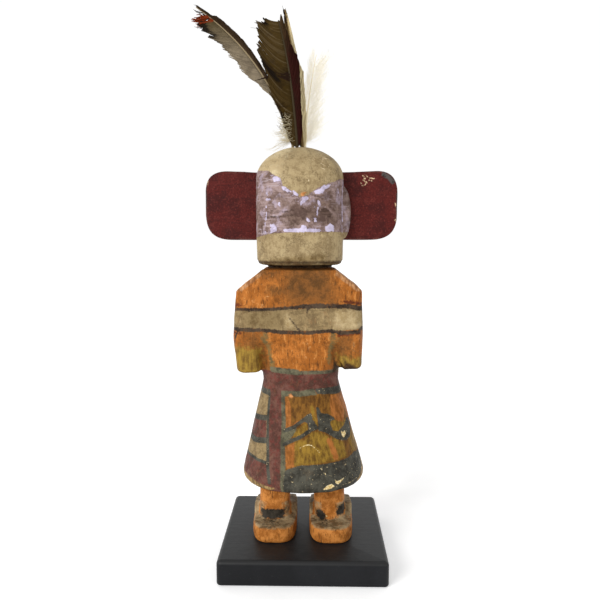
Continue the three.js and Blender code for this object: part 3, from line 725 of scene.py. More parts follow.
# %% Store every coat on the carved skin, from the first laid on to the last
coats = {
    "mask_right_shade": mask_right_shade, "lower_rim_darker": lower_rim_darker, "scratches": scratches, "legs_painted_light": legs_painted_light,
    "shoulder_wear_and_highlight": shoulder_wear_and_highlight, "soil_and_groove_shade": soil_and_groove_shade, "smear": smear, "kilt": kilt, "khaki": khaki,
    "dust": dust, "dull": dull, "ochre": ochre, "yellow": yellow, "orange": orange,
    "rust_shadow": rust_shadow, "maroon": maroon, "grey_green": grey_green, "outline": outline,
    "charcoal": charcoal, "heel": heel, "bare": bare, "black": black, "scraped": scraped,
    "grime": grime, "spot": spot, "smudge": smudge, "flaking": flaking, "lavender": lavender,
    "crevice_shade": crevice_shade, "chips": chips,
}
for coat_name, marks in coats.items():
    keep_values(doll_mesh, coat_name, np.maximum(np.maximum.reduce(marks), -9.0))
keep_values(doll_mesh, "mask", np.clip(doll_z - CHIN_Z + 1.0, -9, 9))
print("coats", len(coats))

# %% [markdown]
# ## Old earth paint on cottonwood
# The paint is ground earth in a weak binder, brushed on thinly over soft wood. It gives an uneven,
# nearly matt colour, darker where it pooled, with the edges of later coats frayed. Each coat here
# has two tones, mixed by noise of a named size in millimetres, and an edge that noise frays. Paint
# and wood keep the index of 1.5 that the shader starts with.

# %% Bare cottonwood and its noises
# Earth paint on soft root wood is chalky and almost without shine, and the warm wood glows through.
# Pigment grit is really about 0.1 mm, and it is drawn 1.1 mm wide, as coarse as it needs to show.
wood = Finish("earth_paint_on_cottonwood", "99591f", roughness=0.6, specular=0.12)
cloudy = wood.patches(17)
mottled = wood.patches(6, 4, rough=0.6)
blotted = wood.patches(2.6, rough=0.6)
speckled = wood.patches(1.1, 2)
weathered = wood.patches(7, 8, rough=0.78)
streaky = wood.patches(1.7, 4, stretch=(1, 1, 5), rough=0.65)
brushed = wood.patches(1.2, 4, stretch=(8, 8, 1), rough=0.6)
scored = wood.patches(0.9, stretch=(1, 1, 7), rough=0.6)
tree = wood.tree
half_mottled = add_node(tree, "Math", {0: mottled, 1: 0.5}, operation="MULTIPLY")
wood.wear = add_node(tree, "Math", {0: streaky, 1: 0.5, 2: half_mottled}, operation="MULTIPLY_ADD")
part_weathered = add_node(tree, "Math", {0: weathered, 1: 0.45}, operation="MULTIPLY")
dragged = add_node(tree, "Math", {0: streaky, 1: 0.55, 2: part_weathered}, operation="MULTIPLY_ADD")
small_fray = add_node(tree, "Math", {0: speckled, 1: 1.6, 2: -1.9}, operation="MULTIPLY_ADD")
wood.fray = add_node(tree, "Math", {0: blotted, 1: 2.2, 2: small_fray}, operation="MULTIPLY_ADD")

wood.wash("b87030", mottled, 0.44, 0.62, 0.8)
wood.wash("6b4017", weathered, 0.52, 0.62, 0.7)
wood.wash("cf8c48", streaky, 0.55, 0.68, 0.6)
wood.wash("47280f", streaky, 0.44, 0.34, 0.65)
wood.wash("e0aa6e", weathered, 0.41, 0.34, 0.5)
wood.wash("36210f", speckled, 0.62, 0.72, 0.45)
print("wood noises from 0.9 to 17 mm")

# %% Coats on the torso and the kilt
# Painted light on the legs and feet
wood.coat("legs_painted_light", "94571f", "c8823f", weathered)
wood.wash("3a2412", scored, 0.58, 0.67, 0.7)
# Wear and painted highlight on the shoulder bevels
wood.coat("shoulder_wear_and_highlight", "8a5a35", "c69263", streaky, soft=0.5, ragged=0.8, worn=0.4)
# Soil on the back and the kilt, and painted shade in the arm grooves
wood.coat("soil_and_groove_shade", "5a3b1b", "825225", weathered, soft=2.0, ragged=1.6)
wood.coat("smear", "5f5334", "84683a", weathered, soft=1.6, ragged=2.6)
wood.coat("kilt", "523412", "835922", dragged, (0.38, 0.62), ragged=0.5)
khaki_coat = wood.coat("khaki", "6f5c3f", "9a845d", weathered, ragged=0.3, worn=0.2)
wood.wash("5a4a30", brushed, 0.54, 0.68, 0.45, within=khaki_coat)
wood.wash("493b25", weathered, 0.53, 0.64, 0.5, within=khaki_coat)
wood.wash("b9a47a", streaky, 0.42, 0.32, 0.5, within=khaki_coat)
wood.coat("dust", "9a845c", "b8a37c", weathered, soft=1.0, worn=0.3)
wood.coat("dull", "655132", "86724e", weathered, soft=1.6, ragged=1.4, worn=0.3)
wood.coat("ochre", "5c4117", "907029", dragged, (0.38, 0.60), soft=0.8, ragged=1.1)
wood.coat("yellow", "64481e", "9c7d33", dragged, (0.38, 0.60), soft=2.2, ragged=3.4)
wood.coat("orange", "7b4a1b", "aa6a32", dragged, (0.38, 0.60), soft=0.6)
# Rust-brown painted shadow
wood.coat("rust_shadow", "4a2412", "6e3517", weathered, soft=0.5, ragged=1.1)
maroon_coat = wood.coat("maroon", "4a2a22", "6a463b", weathered, ragged=0.3, worn=0.15)
wood.wash("6e2e28", blotted, 0.50, 0.64, 0.45, within=maroon_coat)
wood.wash("4c4438", weathered, 0.45, 0.35, 0.5, within=maroon_coat)
wood.coat("grey_green", "444031", "69654f", weathered, soft=0.4, ragged=0.6, worn=0.3)
wood.coat("outline", "2b2019", "4e3f31", weathered, soft=0.4, ragged=0.8, worn=0.35)
dark_coat = wood.coat("charcoal", "2e2c26", "504e44", weathered, (0.38, 0.62), ragged=0.35, worn=0.12)
wood.wash("c9b48a", speckled, 0.69, 0.71, 0.8, within=dark_coat)
wood.coat("heel", "6a563a", "ab9470", weathered, soft=0.6, ragged=0.7)
wood.coat("bare", "6b5636", "a38656", streaky, soft=0.6, ragged=0.8)
wood.coat("black", "1f1b15", "3d372e", weathered, soft=0.6, ragged=1.1)
print("body painted,", len(tree.nodes), "nodes so far")

# %% The tan mask
# The mask is painted over the same wood, so it is built up on its own and then laid on. Its dried
# paint has cracked into plates about 11 mm across, along lines that a slow noise bends.
body_paint = wood.colour
slow = add_node(tree, "Mapping", {"Vector": wood.in_mm, "Scale": (0.12, 0.12, 0.12)})
pushes = add_node(tree, "TexNoise", {"Vector": slow}, give="Color")
bent = add_node(tree, "VectorMath", {0: pushes, 1: (9, 9, 9), 2: wood.in_mm}, operation="MULTIPLY_ADD")
cracks = add_node(tree, "TexVoronoi", {"Vector": bent, "Scale": 0.09}, give="Distance",
                  feature="DISTANCE_TO_EDGE")
wood.colour = "b39e78"
wood.wash("cdbb94", cloudy, 0.4, 0.62, 0.8)
wood.wash("99845e", weathered, 0.52, 0.64, 0.6)
wood.wash("d4c5a2", weathered, 0.46, 0.38, 0.5)
# Painted shade on the right side of the mask
wood.coat("mask_right_shade", "857150", "aa9670", weathered, (0.38, 0.6), soft=2.4, ragged=1.6)
wood.wash("c0ad86", weathered, 0.42, 0.34, 0.4)
wood.wash("6f5c3b", streaky, 0.58, 0.7, 0.4)
wood.wash("5a4729", speckled, 0.66, 0.78, 0.15)
crack_line = wood.wash("54432a", cracks, 0.035, 0.0, 0.5)
# Darker along the lower rim of the mask
wood.coat("lower_rim_darker", "5e4a2b", "8a7550", weathered, soft=1.2)
mask_paint = wood.colour
wood.colour = body_paint
on_mask = add_node(tree, "Attribute", give="Fac", attribute_name="mask")
wood.wash(mask_paint, on_mask, -0.2, 0.2)
print("mask painted,", len(tree.nodes), "nodes so far")

# %% The scraped field, its chips and the dirt
scraped_coat = wood.coat("scraped", "6a544b", "9b8581", weathered, (0.41, 0.59), ragged=0.4)
wood.wash("5d4941", brushed, 0.53, 0.66, 0.6, within=scraped_coat)
wood.wash("b3a2a6", brushed, 0.43, 0.33, 0.6, within=scraped_coat)
wood.wash("b5a6b6", mottled, 0.5, 0.64, 0.5, within=scraped_coat)
wood.coat("grime", "54413a", "7c665b", weathered, soft=2.0, ragged=1.6)
wood.coat("spot", "93602f", "cd8c58", blotted, soft=0.5, ragged=0.6)
wood.coat("smudge", "3d2d26", "5d4940", brushed, soft=0.6, ragged=0.9)
from_rim = add_node(tree, "Attribute", give="Fac", attribute_name="flaking")
near_rim = add_node(tree, "MapRange", {"Value": from_rim, "From Min": -2.0, "From Max": 1.0})
flake_bits = wood.wash("bdb0c8", speckled, 0.60, 0.64, 0.75, within=near_rim)
flake_coat = wood.coat("lavender", "a599ad", "cdc3da", weathered, soft=0.15, ragged=0.75)
wood.coat("scratches", "b59b78", "dccba8", speckled, ragged=0.4, worn=0.3)
# Painted shade in the crevices
wood.coat("crevice_shade", "24160b", "47321d", blotted, soft=0.9, ragged=0.5)
chip_coat = wood.coat("chips", "c9a968", "eedcae", speckled, soft=0.15, ragged=0.3)
gloss = add_node(tree, "MapRange", {"Value": mottled, "From Min": 0.35, "From Max": 0.65,
                                    "To Min": 0.5, "To Max": 0.72})
tree.links.new(gloss, wood.shader.inputs["Roughness"])
wood_paint = wood.finished(
    (speckled, 0.14), (streaky, 0.22), (blotted, 0.22), (brushed, 0.10), (scraped_coat, -0.18),
    (flake_coat, 0.14), (flake_bits, 0.10), (chip_coat, -0.22), (dark_coat, 0.05), (maroon_coat, 0.05),
    (crack_line, -0.15))
new_piece("carved_doll", doll_mesh, wood_paint, "painted_wood", "carved_figure")

# %% [markdown]
# ## Red paddle ears
# Each ear is a thin board let into a slot in the mask, painted dark red on both faces. Its edges are
# eased by handling. A copy of the model's board is given an even skin, so that the faces can be made
# slightly uneven, and scratches and a grey scuff are noted on the board as the paint marks were.

# %% Dark red paint
# Dark red paint on a sanded board has a low, broad shine, and is deeper where the brush left more
ear = Finish("dark_red_paint_on_board", "501510", roughness=0.55, specular=0.15)
cloudy = ear.patches(13)
mottled = ear.patches(4, 4, rough=0.65)
speckled = ear.patches(1.0, 2)
brushed = ear.patches(1.5, 4, stretch=(7, 3, 1))
ear.wash("3c0f0c", cloudy, 0.46, 0.62, 0.85)
ear.wash("5c221c", mottled, 0.5, 0.66, 0.6)
ear.wash("2c0b09", brushed, 0.54, 0.7, 0.4)
ear.wash("360d0c", speckled, 0.46, 0.36, 0.6)
ear.wash("702f29", speckled, 0.56, 0.70, 0.5)
rubbed = add_node(ear.tree, "Attribute", give="Fac", attribute_name="rubbed")
worn_rim = add_node(ear.tree, "Math", {0: mottled, 1: 1.6, 2: rubbed}, operation="MULTIPLY_ADD")
ear.wash("6a4a40", worn_rim, 0.7, 1.7, 0.6)
ear.fray = add_node(ear.tree, "Math", {0: speckled, 1: 1.8, 2: -0.95}, operation="MULTIPLY_ADD")
ear.wear = cloudy
ear.coat("scuffed", "241f1d", "4d4643", mottled, soft=0.4)
scratch_coat = ear.coat("scratched", "94735a", "c9ad8b", speckled, ragged=0.8)
ear_paint = ear.finished((brushed, 0.16), (speckled, 0.12), (mottled, 0.15), (scratch_coat, -0.15))

# %% Ears
EAR_CELL = 0.55 * MM
EAR_CUT = 11
RIM_REACH = 2.5


def make_ear(node_name, scratches, scuffs):
    """One paddle ear, with scratches and scuffs given as widths and paths across it."""
    mesh = even_skin(node_name, EAR_CELL)
    points, normals = places_of(mesh), rows_of(mesh, "normal")
    lifts = [0.14 * noise.noise(Vector(p) / 9.0) + knife_cut(p, EAR_CUT, EAR_CUT, 0.12) for p in points]
    keep_places(mesh, points + normals * np.array(lifts)[:, None])
    low, high = [np.array(corner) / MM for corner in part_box(node_name)]
    x, _, z = points.T
    from_edge = np.minimum.reduce([x - low[0], high[0] - x, z - low[2], high[2] - z])
    keep_values(mesh, "rubbed", 0.6 - from_edge / RIM_REACH)
    board = Tape(x, z)
    keep_values(mesh, "scratched", np.maximum.reduce([board.stroke(*s) for s in scratches]))
    keep_values(mesh, "scuffed", np.maximum.reduce([board.stroke(*s) for s in scuffs]))
    new_piece(node_name + "_painted", mesh, ear_paint, "red_paint", node_name)


make_ear("ear_left",
         [(0.6, (-60.5, 240), (-60.8, 238))],
         [(0.8, (-62, 236), (-62, 224))])
make_ear("ear_right",
         [(0.7, (36.5, 243.4), (38.5, 241.5), (37, 240.5), (39.5, 239), (38, 237.5)),
          (0.7, (38.5, 243.8), (41, 241.8), (44, 241.6)), (0.6, (40.5, 240.6), (43.5, 239.6)),
          (0.5, (35.5, 239), (37, 236.8)), (0.6, (57.5, 226), (57.6, 224)),
          (0.7, (57.2, 217), (57.6, 215))],
         [(3.0, (50, 244), (53.5, 242), (55.5, 239.5)), (0.8, (58.3, 232), (58.3, 222))])

# %% [markdown]
# ## Black block
# The stand is a square of board with rounded upper edges, sprayed satin black. The paint keeps a
# faint grain and picks up dust on top, and its upper rounds are painted lighter as a highlight. It
# starts as a cube, its upright corners are bevelled first, and then the rims, so that the rounds meet
# as they do after sanding.

# %% Block
CORNER_ROUND = 3.0 * MM
TOP_ROUND = 2.75 * MM
FOOT_ROUND = 1.25 * MM
block_low, block_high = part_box("base_block")
block_size = block_high - block_low


def rounded(bm, edges, radius, segments):
    """Rounds some edges of the block."""
    bmesh.ops.bevel(bm, geom=edges, offset=radius, segments=segments, profile=0.5, affect="EDGES",
                    material=-1)


def rim_edges(bm, z, face_up):
    """The edges of the flat top or underside."""
    return [e for e in bm.edges if all(abs(v.co.z - z) < 1e-7 for v in e.verts)
            and any(abs(f.normal.z - face_up) > 0.5 for f in e.link_faces)]


bm = bmesh.new()
bmesh.ops.create_cube(bm, size=1)
bmesh.ops.scale(bm, verts=bm.verts, vec=block_size)
bmesh.ops.translate(bm, verts=bm.verts, vec=(block_low + block_high) / 2)
rounded(bm, [e for e in bm.edges if abs(e.verts[0].co.z - e.verts[1].co.z) > 1e-6], CORNER_ROUND, 6)
rounded(bm, rim_edges(bm, block_high.z, 1), TOP_ROUND, 6)
rounded(bm, rim_edges(bm, block_low.z, -1), FOOT_ROUND, 4)
block_mesh = to_mesh(bm, "block")
block_mesh.shade_smooth()
print("block", [round(v / MM, 1) for v in block_size], "mm")

# %% Satin black paint
# Sprayed satin black gives soft, wide highlights on the rounds, painted in here too as lighter grey on the
# upper rounds, and the dust turns its top grey
satin = Finish("satin_black_paint", "0d0e11", roughness=0.46, specular=0.2)
cloudy = satin.patches(22)
mottled = satin.patches(5, 4)
pitted = satin.patches(0.9, 2)
grained = satin.patches(1.6, 4, stretch=(12, 1, 1))
outwards = add_node(satin.tree, "NewGeometry", give="Normal")
facing_up = add_node(satin.tree, "SeparateXYZ", {0: outwards}, give="Z")
satin.wash("151619", cloudy, 0.4, 0.62)
dusty = add_node(satin.tree, "MapRange", {"Value": mottled, "From Min": 0.35, "From Max": 0.65,
                                          "To Min": 0.35, "To Max": 0.8})
# Painted highlight: the upper rounds are painted lighter grey, where they catch the light
satin.wash("303030", facing_up, 0.1, 0.5, 0.7)
satin.wash("17181a", facing_up, 0.9, 0.995)
satin.wash("232424", facing_up, 0.9, 0.995, within=dusty)
satin.wash("3a3c3c", pitted, 0.66, 0.76, 0.3)
block_paint = satin.finished((grained, 0.06), (pitted, 0.05), (mottled, 0.12))
new_piece("black_block", block_mesh, block_paint, "black_paint", "base_block")

# %% [markdown]
# ## Feathers
# A feather is a tapering shaft with a row of flat barbs on each side. The barbs lean towards the tip
# and lie like tiles, and where they have parted the vane is split. A flat card with a picture would
# show neither. So one barb is modelled, copied a few hundred times, and each copy is bent from its
# root on the shaft to its place on the vane's edge. Down is made the same way from finer, looser hairs.

# %% One barb and one hair
def from_root(bm, cuts):
    """Moves a form of length 1 to run from 0 to 1 along X, and divides it so that it can bend."""
    bmesh.ops.translate(bm, verts=bm.verts, vec=(0.5, 0, 0))
    long_edges = [e for e in bm.edges if abs(e.verts[0].co.x - e.verts[1].co.x) > 0.5]
    bmesh.ops.subdivide_edges(bm, edges=long_edges, cuts=cuts)
    return bm


def flat_barb(cuts):
    """A flat strip, 1 wide along Y and 1 thick along Z."""
    bm = bmesh.new()
    bmesh.ops.create_cube(bm, size=1)
    return from_root(bm, cuts)


def round_rod(cuts, sides, radius):
    """A rod with a few sides: three for a hair, eight for a shaft."""
    bm = bmesh.new()
    bmesh.ops.create_cone(bm, cap_ends=True, segments=sides, radius1=radius, radius2=radius, depth=1)
    lay_down = Vector((0, 0, 1)).rotation_difference(Vector((1, 0, 0))).to_matrix()
    bmesh.ops.rotate(bm, verts=bm.verts, cent=(0, 0, 0), matrix=lay_down)
    return from_root(bm, cuts)


def copies(template, count):
    """One bmesh with many copies of a template, and the template's own places."""
    local = np.array([v.co for v in template.verts])
    single = to_mesh(template, "single")
    many = bmesh.new()
    for _ in range(count):
        many.from_mesh(single)
    bpy.data.meshes.remove(single)
    return many, local


for strand_name, form in (("barb", flat_barb(cuts=6)), ("hair", round_rod(cuts=8, sides=3, radius=0.5))):
    print(strand_name, len(form.verts), "points")
    form.free()

# %% Where the feathers leave the crown, in millimetres
CROWN_Z = 261.25
HEAD_HALF_WIDTH = 27.45
HEAD_HALF_DEPTH = 26
DOME_RISE = 20
PLAN_POWER = 2.7
DOME_POWER = 1.9
HOLE_SPACING = 3.5
QUILL_SUNK = 9.0
BARE_QUILL = 1.5


def crown_height(x, y):
    """Height of the mask's domed top at a place near its middle."""
    share = (abs((x - HEAD_MIDDLE_X) / HEAD_HALF_WIDTH) ** PLAN_POWER
             + abs(y / HEAD_HALF_DEPTH) ** PLAN_POWER) ** (1 / PLAN_POWER)
    return CROWN_Z - DOME_RISE * (1 - (1 - share ** DOME_POWER) ** (1 / DOME_POWER))


print("crown", round(crown_height(HEAD_MIDDLE_X, 0), 1), "mm above the table")


# %% The line of a feather
class Feather:
    """The curved line of one feather, which leaves its hole upright and then bends over."""

    def __init__(self, row, hole_x, lean, rise, forward, bend, vane, stations):
        hole_y = (row - 1.5) * HOLE_SPACING
        mouth = np.array([hole_x, hole_y, crown_height(hole_x, hole_y) + BARE_QUILL])
        pull = mouth + [lean * bend[0], forward * 0.3, rise * bend[1] - BARE_QUILL]
        tip = mouth + [lean, forward, rise - BARE_QUILL]
        t = np.linspace(0, 1, 120)[:, None]
        self.line = (1 - t) ** 2 * mouth + 2 * t * (1 - t) * pull + t ** 2 * tip
        steps = np.linalg.norm(np.diff(self.line, axis=0), axis=1)
        self.length = steps.sum()
        self.shares = np.concatenate([[0], np.cumsum(steps)]) / self.length
        self.vane = vane
        self.stations = np.array(stations)

    def at(self, share):
        """Place at a share of the length, straight on past the tip and straight down below 0."""
        inside = np.clip(share, 0, 1)
        place = np.stack([np.interp(inside, self.shares, self.line[:, i]) for i in range(3)], -1)
        end = (self.line[-1] - self.line[-4]) / np.linalg.norm(self.line[-1] - self.line[-4])
        place += np.maximum(share - 1, 0)[..., None] * end * self.length
        place[..., 2] += np.minimum(share, 0) * self.length
        return place

    def across(self, share):
        """Sideways in the plane of the vane, towards +X on an upright feather."""
        run = self.at(share + 0.01) - self.at(share - 0.01)
        run /= np.linalg.norm(run, axis=-1, keepdims=True)
        side = np.stack([run[..., 2], np.zeros(run.shape[:-1]), -run[..., 0]], -1)
        return side / np.linalg.norm(side, axis=-1, keepdims=True)

    def reach(self, share, side):
        """Width of the vane on one side: column 1 is its left, column 2 its right."""
        column = 1 if side < 0 else 2
        return self.vane * np.interp(share, self.stations[:, 0], self.stations[:, column])


# %% The four feathers, with their widths to the left and right at shares of their length
broken = Feather(row=0, hole_x=-4.2, lean=-11.2, rise=75, forward=-3, bend=(0.3, 0.64), vane=16.4,
                 stations=[(0, 0.27, 0.2), (0.15, 0.45, 0.25), (0.3, 0.72, 0.27), (0.55, 0.9, 0.41),
                           (0.72, 1, 0.34), (0.85, 0.9, 0.22), (1, 0.8, 0.15)])
curved = Feather(row=1, hole_x=-7, lean=-59.5, rise=85, forward=0, bend=(0.24, 0.64), vane=9.4,
                 stations=[(0.05, 0.08, 0.15), (0.3, 0.18, 0.21), (0.38, 0.5, 0.24), (0.46, 0.82, 0.28),
                           (0.65, 0.85, 0.39), (0.86, 1, 0.34), (0.93, 0.8, 0.17), (1, 0.3, 0.12)])
cream = Feather(row=2, hole_x=-1, lean=-11, rise=85, forward=2, bend=(0.2, 0.46), vane=5,
                stations=[(0, 0.4, 0.5), (0.27, 0.8, 0.8), (0.5, 0.9, 1), (0.66, 0.68, 0.52),
                          (0.93, 0.32, 0.2), (1, 0.1, 0.08)])
down = Feather(row=3, hole_x=0.6, lean=7, rise=60, forward=6, bend=(0.16, 0.5), vane=11.5,
               stations=[(0.04, 0.14, 0.17), (0.23, 0.35, 0.74), (0.41, 0.39, 1), (0.6, 0.35, 0.85),
                         (0.8, 0.26, 0.52), (1, 0.07, 0.09)])
print("feather lengths", [round(f.length) for f in (broken, curved, cream, down)], "mm")


# %% Gather the strands of a feather
class Strands:
    """Gathers shaft, barbs and hairs of one feather, with the values its material reads."""

    def __init__(self, feather, seed):
        self.feather = feather
        self.rng = np.random.default_rng(seed)
        self.bm = bmesh.new()
        self.places = []
        self.values = []

    def take(self, many, places, values):
        """Adds copies with their bent places and their along, across, shade and kind values."""
        held = to_mesh(many, "held")
        self.bm.from_mesh(held)
        bpy.data.meshes.remove(held)
        self.places.append(places.reshape(-1, 3))
        self.values.append(np.stack(np.broadcast_arrays(*values), -1).reshape(-1, 4))

    def finish(self, name, material, slot, node):
        """Makes the piece, with its normals turned outwards."""
        mesh = to_mesh(self.bm, name)
        keep_places(mesh, np.concatenate(self.places))
        for value_name, column in zip(("along", "across", "shade", "kind"), np.concatenate(self.values).T):
            keep_values(mesh, value_name, column)
        bm = bmesh.new()
        bm.from_mesh(mesh)
        bmesh.ops.recalc_face_normals(bm, faces=bm.faces)
        bm.to_mesh(mesh)
        bm.free()
        mesh.shade_smooth()
        new_piece(name, mesh, material, slot, node)


# %% The shaft
SHAFT_KIND, BARB_KIND, DOWN_KIND, RUST_KIND, DARK_KIND = range(5)


def add_shaft(strands, thick, thin):
    """The quill, from the bottom of its hole to the tip."""
    feather = strands.feather
    many, local = copies(round_rod(cuts=44, sides=8, radius=1), 1)
    sunk = QUILL_SUNK + BARE_QUILL
    share = (local[:, 0] * (feather.length + sunk) - sunk) / feather.length
    inside = np.clip(share, 0, 1)
    place = feather.at(share)
    size = thick + (thin - thick) * inside ** 0.8
    place += feather.across(np.maximum(share, 0.0)) * (local[:, 1] * size)[:, None]
    place[:, 1] += local[:, 2] * size * 0.8
    strands.take(many, place, (inside, 0.0, 0.5, SHAFT_KIND))


print("quills", QUILL_SUNK, "mm deep in their holes")

# %% Bend strands from the shaft to the edge of the vane
def facing(direction):
    """Two unit vectors square to each direction: one in the vane's plane, one out of it."""
    out = np.zeros_like(direction)
    out[..., 1] = 1.0
    flat = np.cross(direction, out)
    flat /= np.linalg.norm(flat, axis=-1, keepdims=True) + 1e-12
    return flat, np.cross(flat, direction)


def bend_strand(feather, local, side, roots, reach, sweep, wave, width, thick, tilt=0.0, lift=0.0):
    """Places of every copy of a strand, from its root on the shaft to the edge of the vane."""
    t = local[:, 0][None, :]
    root, reach, sweep, wave = [v[:, None] for v in (roots, reach, sweep, wave)]

    def spine(t):
        """The middle line of each strand, which curves towards the tip as it goes out."""
        share = root + sweep / feather.length * (0.35 * t + 0.65 * t ** 1.9)
        out = side * reach * (1.25 * t - 0.25 * t ** 2)
        place = feather.at(share) + feather.across(share) * out[..., None]
        place[..., 1] += wave * t ** 2 + lift * t * (1 - t) * 4
        return place

    place = spine(t)
    ahead = spine(t + 0.02) - spine(np.maximum(t - 0.02, 0))
    ahead /= np.linalg.norm(ahead, axis=-1, keepdims=True)
    flat, out = facing(ahead)
    taper = width * (1 - 0.6 * t ** 4)
    place += flat * (taper * local[:, 1])[..., None]
    place += out * (thick * local[:, 2] + tilt * local[:, 1] * (1 - 0.5 * t))[..., None]
    return place


# %% Barbs, in millimetres
LEFT = -1
RIGHT = 1
BARB_THICK = 0.09
BARB_TILT = 0.1


def add_vane(strands, side, count, spread, lean, width=1.0, splits=(), ragged=0.05, torn_tip=False,
             front=0.0, dark_spans=()):
    """A row of flat barbs on one side of the shaft, parted where the vane has split."""
    feather, rng = strands.feather, strands.rng
    many, local = copies(flat_barb(cuts=6), count)
    roots = np.linspace(*spread, count)
    edge = roots + lean * feather.reach(roots, side) / feather.length * 0.8
    reach = feather.reach(np.clip(edge, 0, 1), side)
    wavy = np.array([noise.noise(Vector((r * 22, side * 3.0, feather.length))) for r in roots])
    reach *= 1 + 1.6 * ragged * wavy
    sweep = lean * reach
    room = np.maximum(1.0 - roots, 0.0) * feather.length + 0.5
    if torn_tip:
        cut = room + 1.5 + 3.0 * wavy + 0.8 * rng.standard_normal(count)
        shrink = np.clip(cut / np.maximum(sweep, 1e-6), 0.05, 1.0)
        reach, sweep = reach * (0.35 + 0.65 * shrink), sweep * shrink
    else:
        sweep = np.minimum(sweep, room)
    for where, gap_mm, wide in splits:
        side_of = (roots - where) / wide
        sweep += gap_mm * np.sign(side_of) * np.exp(-np.abs(side_of))
        reach *= 1 - 0.10 * np.exp(-np.abs(side_of))
    reach *= 1 + ragged * 0.5 * rng.standard_normal(count) - (rng.random(count) < 0.03) * 0.12
    wave = 0.2 * rng.standard_normal(count)
    places = bend_strand(feather, local, side, roots, reach, sweep, wave, width, BARB_THICK,
                         BARB_TILT * side, front)
    t = local[:, 0][None, :]
    along = roots[:, None]
    clumps = np.array([0.5 + 0.5 * noise.noise(Vector((r * 60, side * 5.0, 1.7))) for r in roots])
    shade = (0.5 * rng.random(count) + 0.5 * clumps)[:, None]
    for low, high, inner in dark_spans:
        middle = np.clip(1 - np.abs(along - (low + high) / 2) / (high - low) * 2, 0, 1)
        shade = shade - 2.2 * middle * np.clip((t - inner) * 2.5, 0, 1)
    strands.take(many, places, (along, side * t, shade, BARB_KIND))


print("barbs", BARB_THICK, "mm thick")

# %% Loose hairs
def add_down(strands, side, count, spread, reach_to, sweep_to, curl, thick, kind=DOWN_KIND, drift=1.0):
    """Loose fine hairs on one side of the shaft, out to a reach, swept on and curled, all in mm."""
    rng = strands.rng
    many, local = copies(round_rod(cuts=8, sides=3, radius=0.5), count)
    roots = np.sort(rng.uniform(*spread, count))
    reach = reach_to * (0.45 + 0.55 * rng.random(count))
    sweep = sweep_to * (0.6 + 0.6 * rng.random(count))
    wave = drift * rng.standard_normal(count)
    places = bend_strand(strands.feather, local, side, roots, reach, sweep, wave, thick, thick)
    t = local[:, 0][None, :]
    turn = rng.uniform(0, 6.28, count)[:, None]
    places[..., 0] += curl * t * np.sin(t * 5 + turn)
    places[..., 2] += curl * t * np.cos(t * 5 + turn)
    strands.take(many, places, (roots[:, None], side * t, rng.random(count)[:, None], kind))


print("kinds of strand", DARK_KIND + 1)

# %% [markdown]
# ## Feather keratin
# The barbs are keratin coloured by melanin, dark brown to olive, grey on the old curved feather and
# white in the down. They are matt with hardly any sheen along their length. The material reads
# where on the feather a point lies, so that each vane runs from its root colour to its tip colour.

# %% Feather material
# Keratin barbs lie side by side like a fine brush, so a vane is matt and takes its tone from melanin
def feather_finish(name, ground, left_tip, right, right_tip, shaft, fluff, barring, glow=0.0):
    """One tone for each vane that changes towards its tip, and tones for the shaft and the fluff."""
    feather = Finish(name, ground, roughness=0.75, specular=0.05)
    feather.shader.inputs["Sheen Weight"].default_value = 0.02
    if glow:
        feather.glow("f4f0e4", glow)
    along, across, shade, kind = [add_node(feather.tree, "Attribute", give="Fac", attribute_name=n)
                                  for n in ("along", "across", "shade", "kind")]
    on_right = add_node(feather.tree, "MapRange", {"Value": across, "From Min": -0.02,
                                                   "From Max": 0.02})
    on_left = add_node(feather.tree, "Math", {0: 1.0, 1: on_right}, operation="SUBTRACT")
    feather.wash(left_tip, along, 0.5, 0.95)
    feather.wash(right, along, -0.2, -0.1, within=on_right)
    feather.wash(right_tip, along, 0.6, 0.95, within=on_right)
    feather.wash("1c1208", feather.patches(7), 0.45, 0.68, barring)
    feather.wash("b0a083", shade, 0.5, 1.0, barring * 0.4, within=on_left)
    feather.wash("120a06", shade, 0.5, 0.0, barring * 0.8)
    feather.wash("120b06", shade, 0.0, -0.7, 0.9)
    # A kind is a whole number, so each of these washes sets in half way between two kinds
    feather.wash(shaft, kind, 0.6, 0.4)
    feather.wash(fluff, kind, 1.4, 1.6)
    feather.wash("702a0e", kind, 2.4, 2.6)
    feather.wash("22140b", kind, 3.4, 3.6)
    return feather.finished()


# %% Broken olive feather
olive_vane = feather_finish("olive_brown_feather", "38290c", "433316", "2a0d08", "3a2a17", "3a3122",
                            "cfc2a2", 0.4)
strands = Strands(broken, 11)
add_shaft(strands, 0.9, 0.45)
# Three spans of the left vane are darkened to near black towards their outer ends
add_vane(strands, LEFT, 240, (-0.02, 0.985), lean=1.2, torn_tip=True, front=-0.4,
         splits=((0.36, 1.3, 0.03), (0.66, 0.9, 0.02), (0.14, 1.2, 0.03)),
         dark_spans=((0.40, 0.56, 0.2), (0.04, 0.24, 0.5), (0.86, 1.0, 0.6)))
add_vane(strands, RIGHT, 220, (-0.02, 0.97), lean=2.6, width=1.1, torn_tip=True, ragged=0.04, front=-0.4)
add_down(strands, LEFT, 7, (0.575, 0.59), 22, -1.0, 0.2, thick=0.8, kind=DARK_KIND, drift=0.2)
add_down(strands, LEFT, 9, (0.5, 0.57), 9, 2.0, 0.2, thick=1.5, kind=DARK_KIND, drift=0.1)
add_down(strands, LEFT, 8, (0.96, 0.99), 17, 4.5, 0.8, thick=0.3, kind=DARK_KIND, drift=0.4)
add_down(strands, LEFT, 260, (0.03, 0.24), 9.5, 2, 2.2, thick=0.2)
add_down(strands, LEFT, 80, (0.08, 0.34), 11, 3, 1.8, thick=0.2, kind=DARK_KIND)
strands.finish("broken_feather", olive_vane, "dark_feather", "feather_broken")

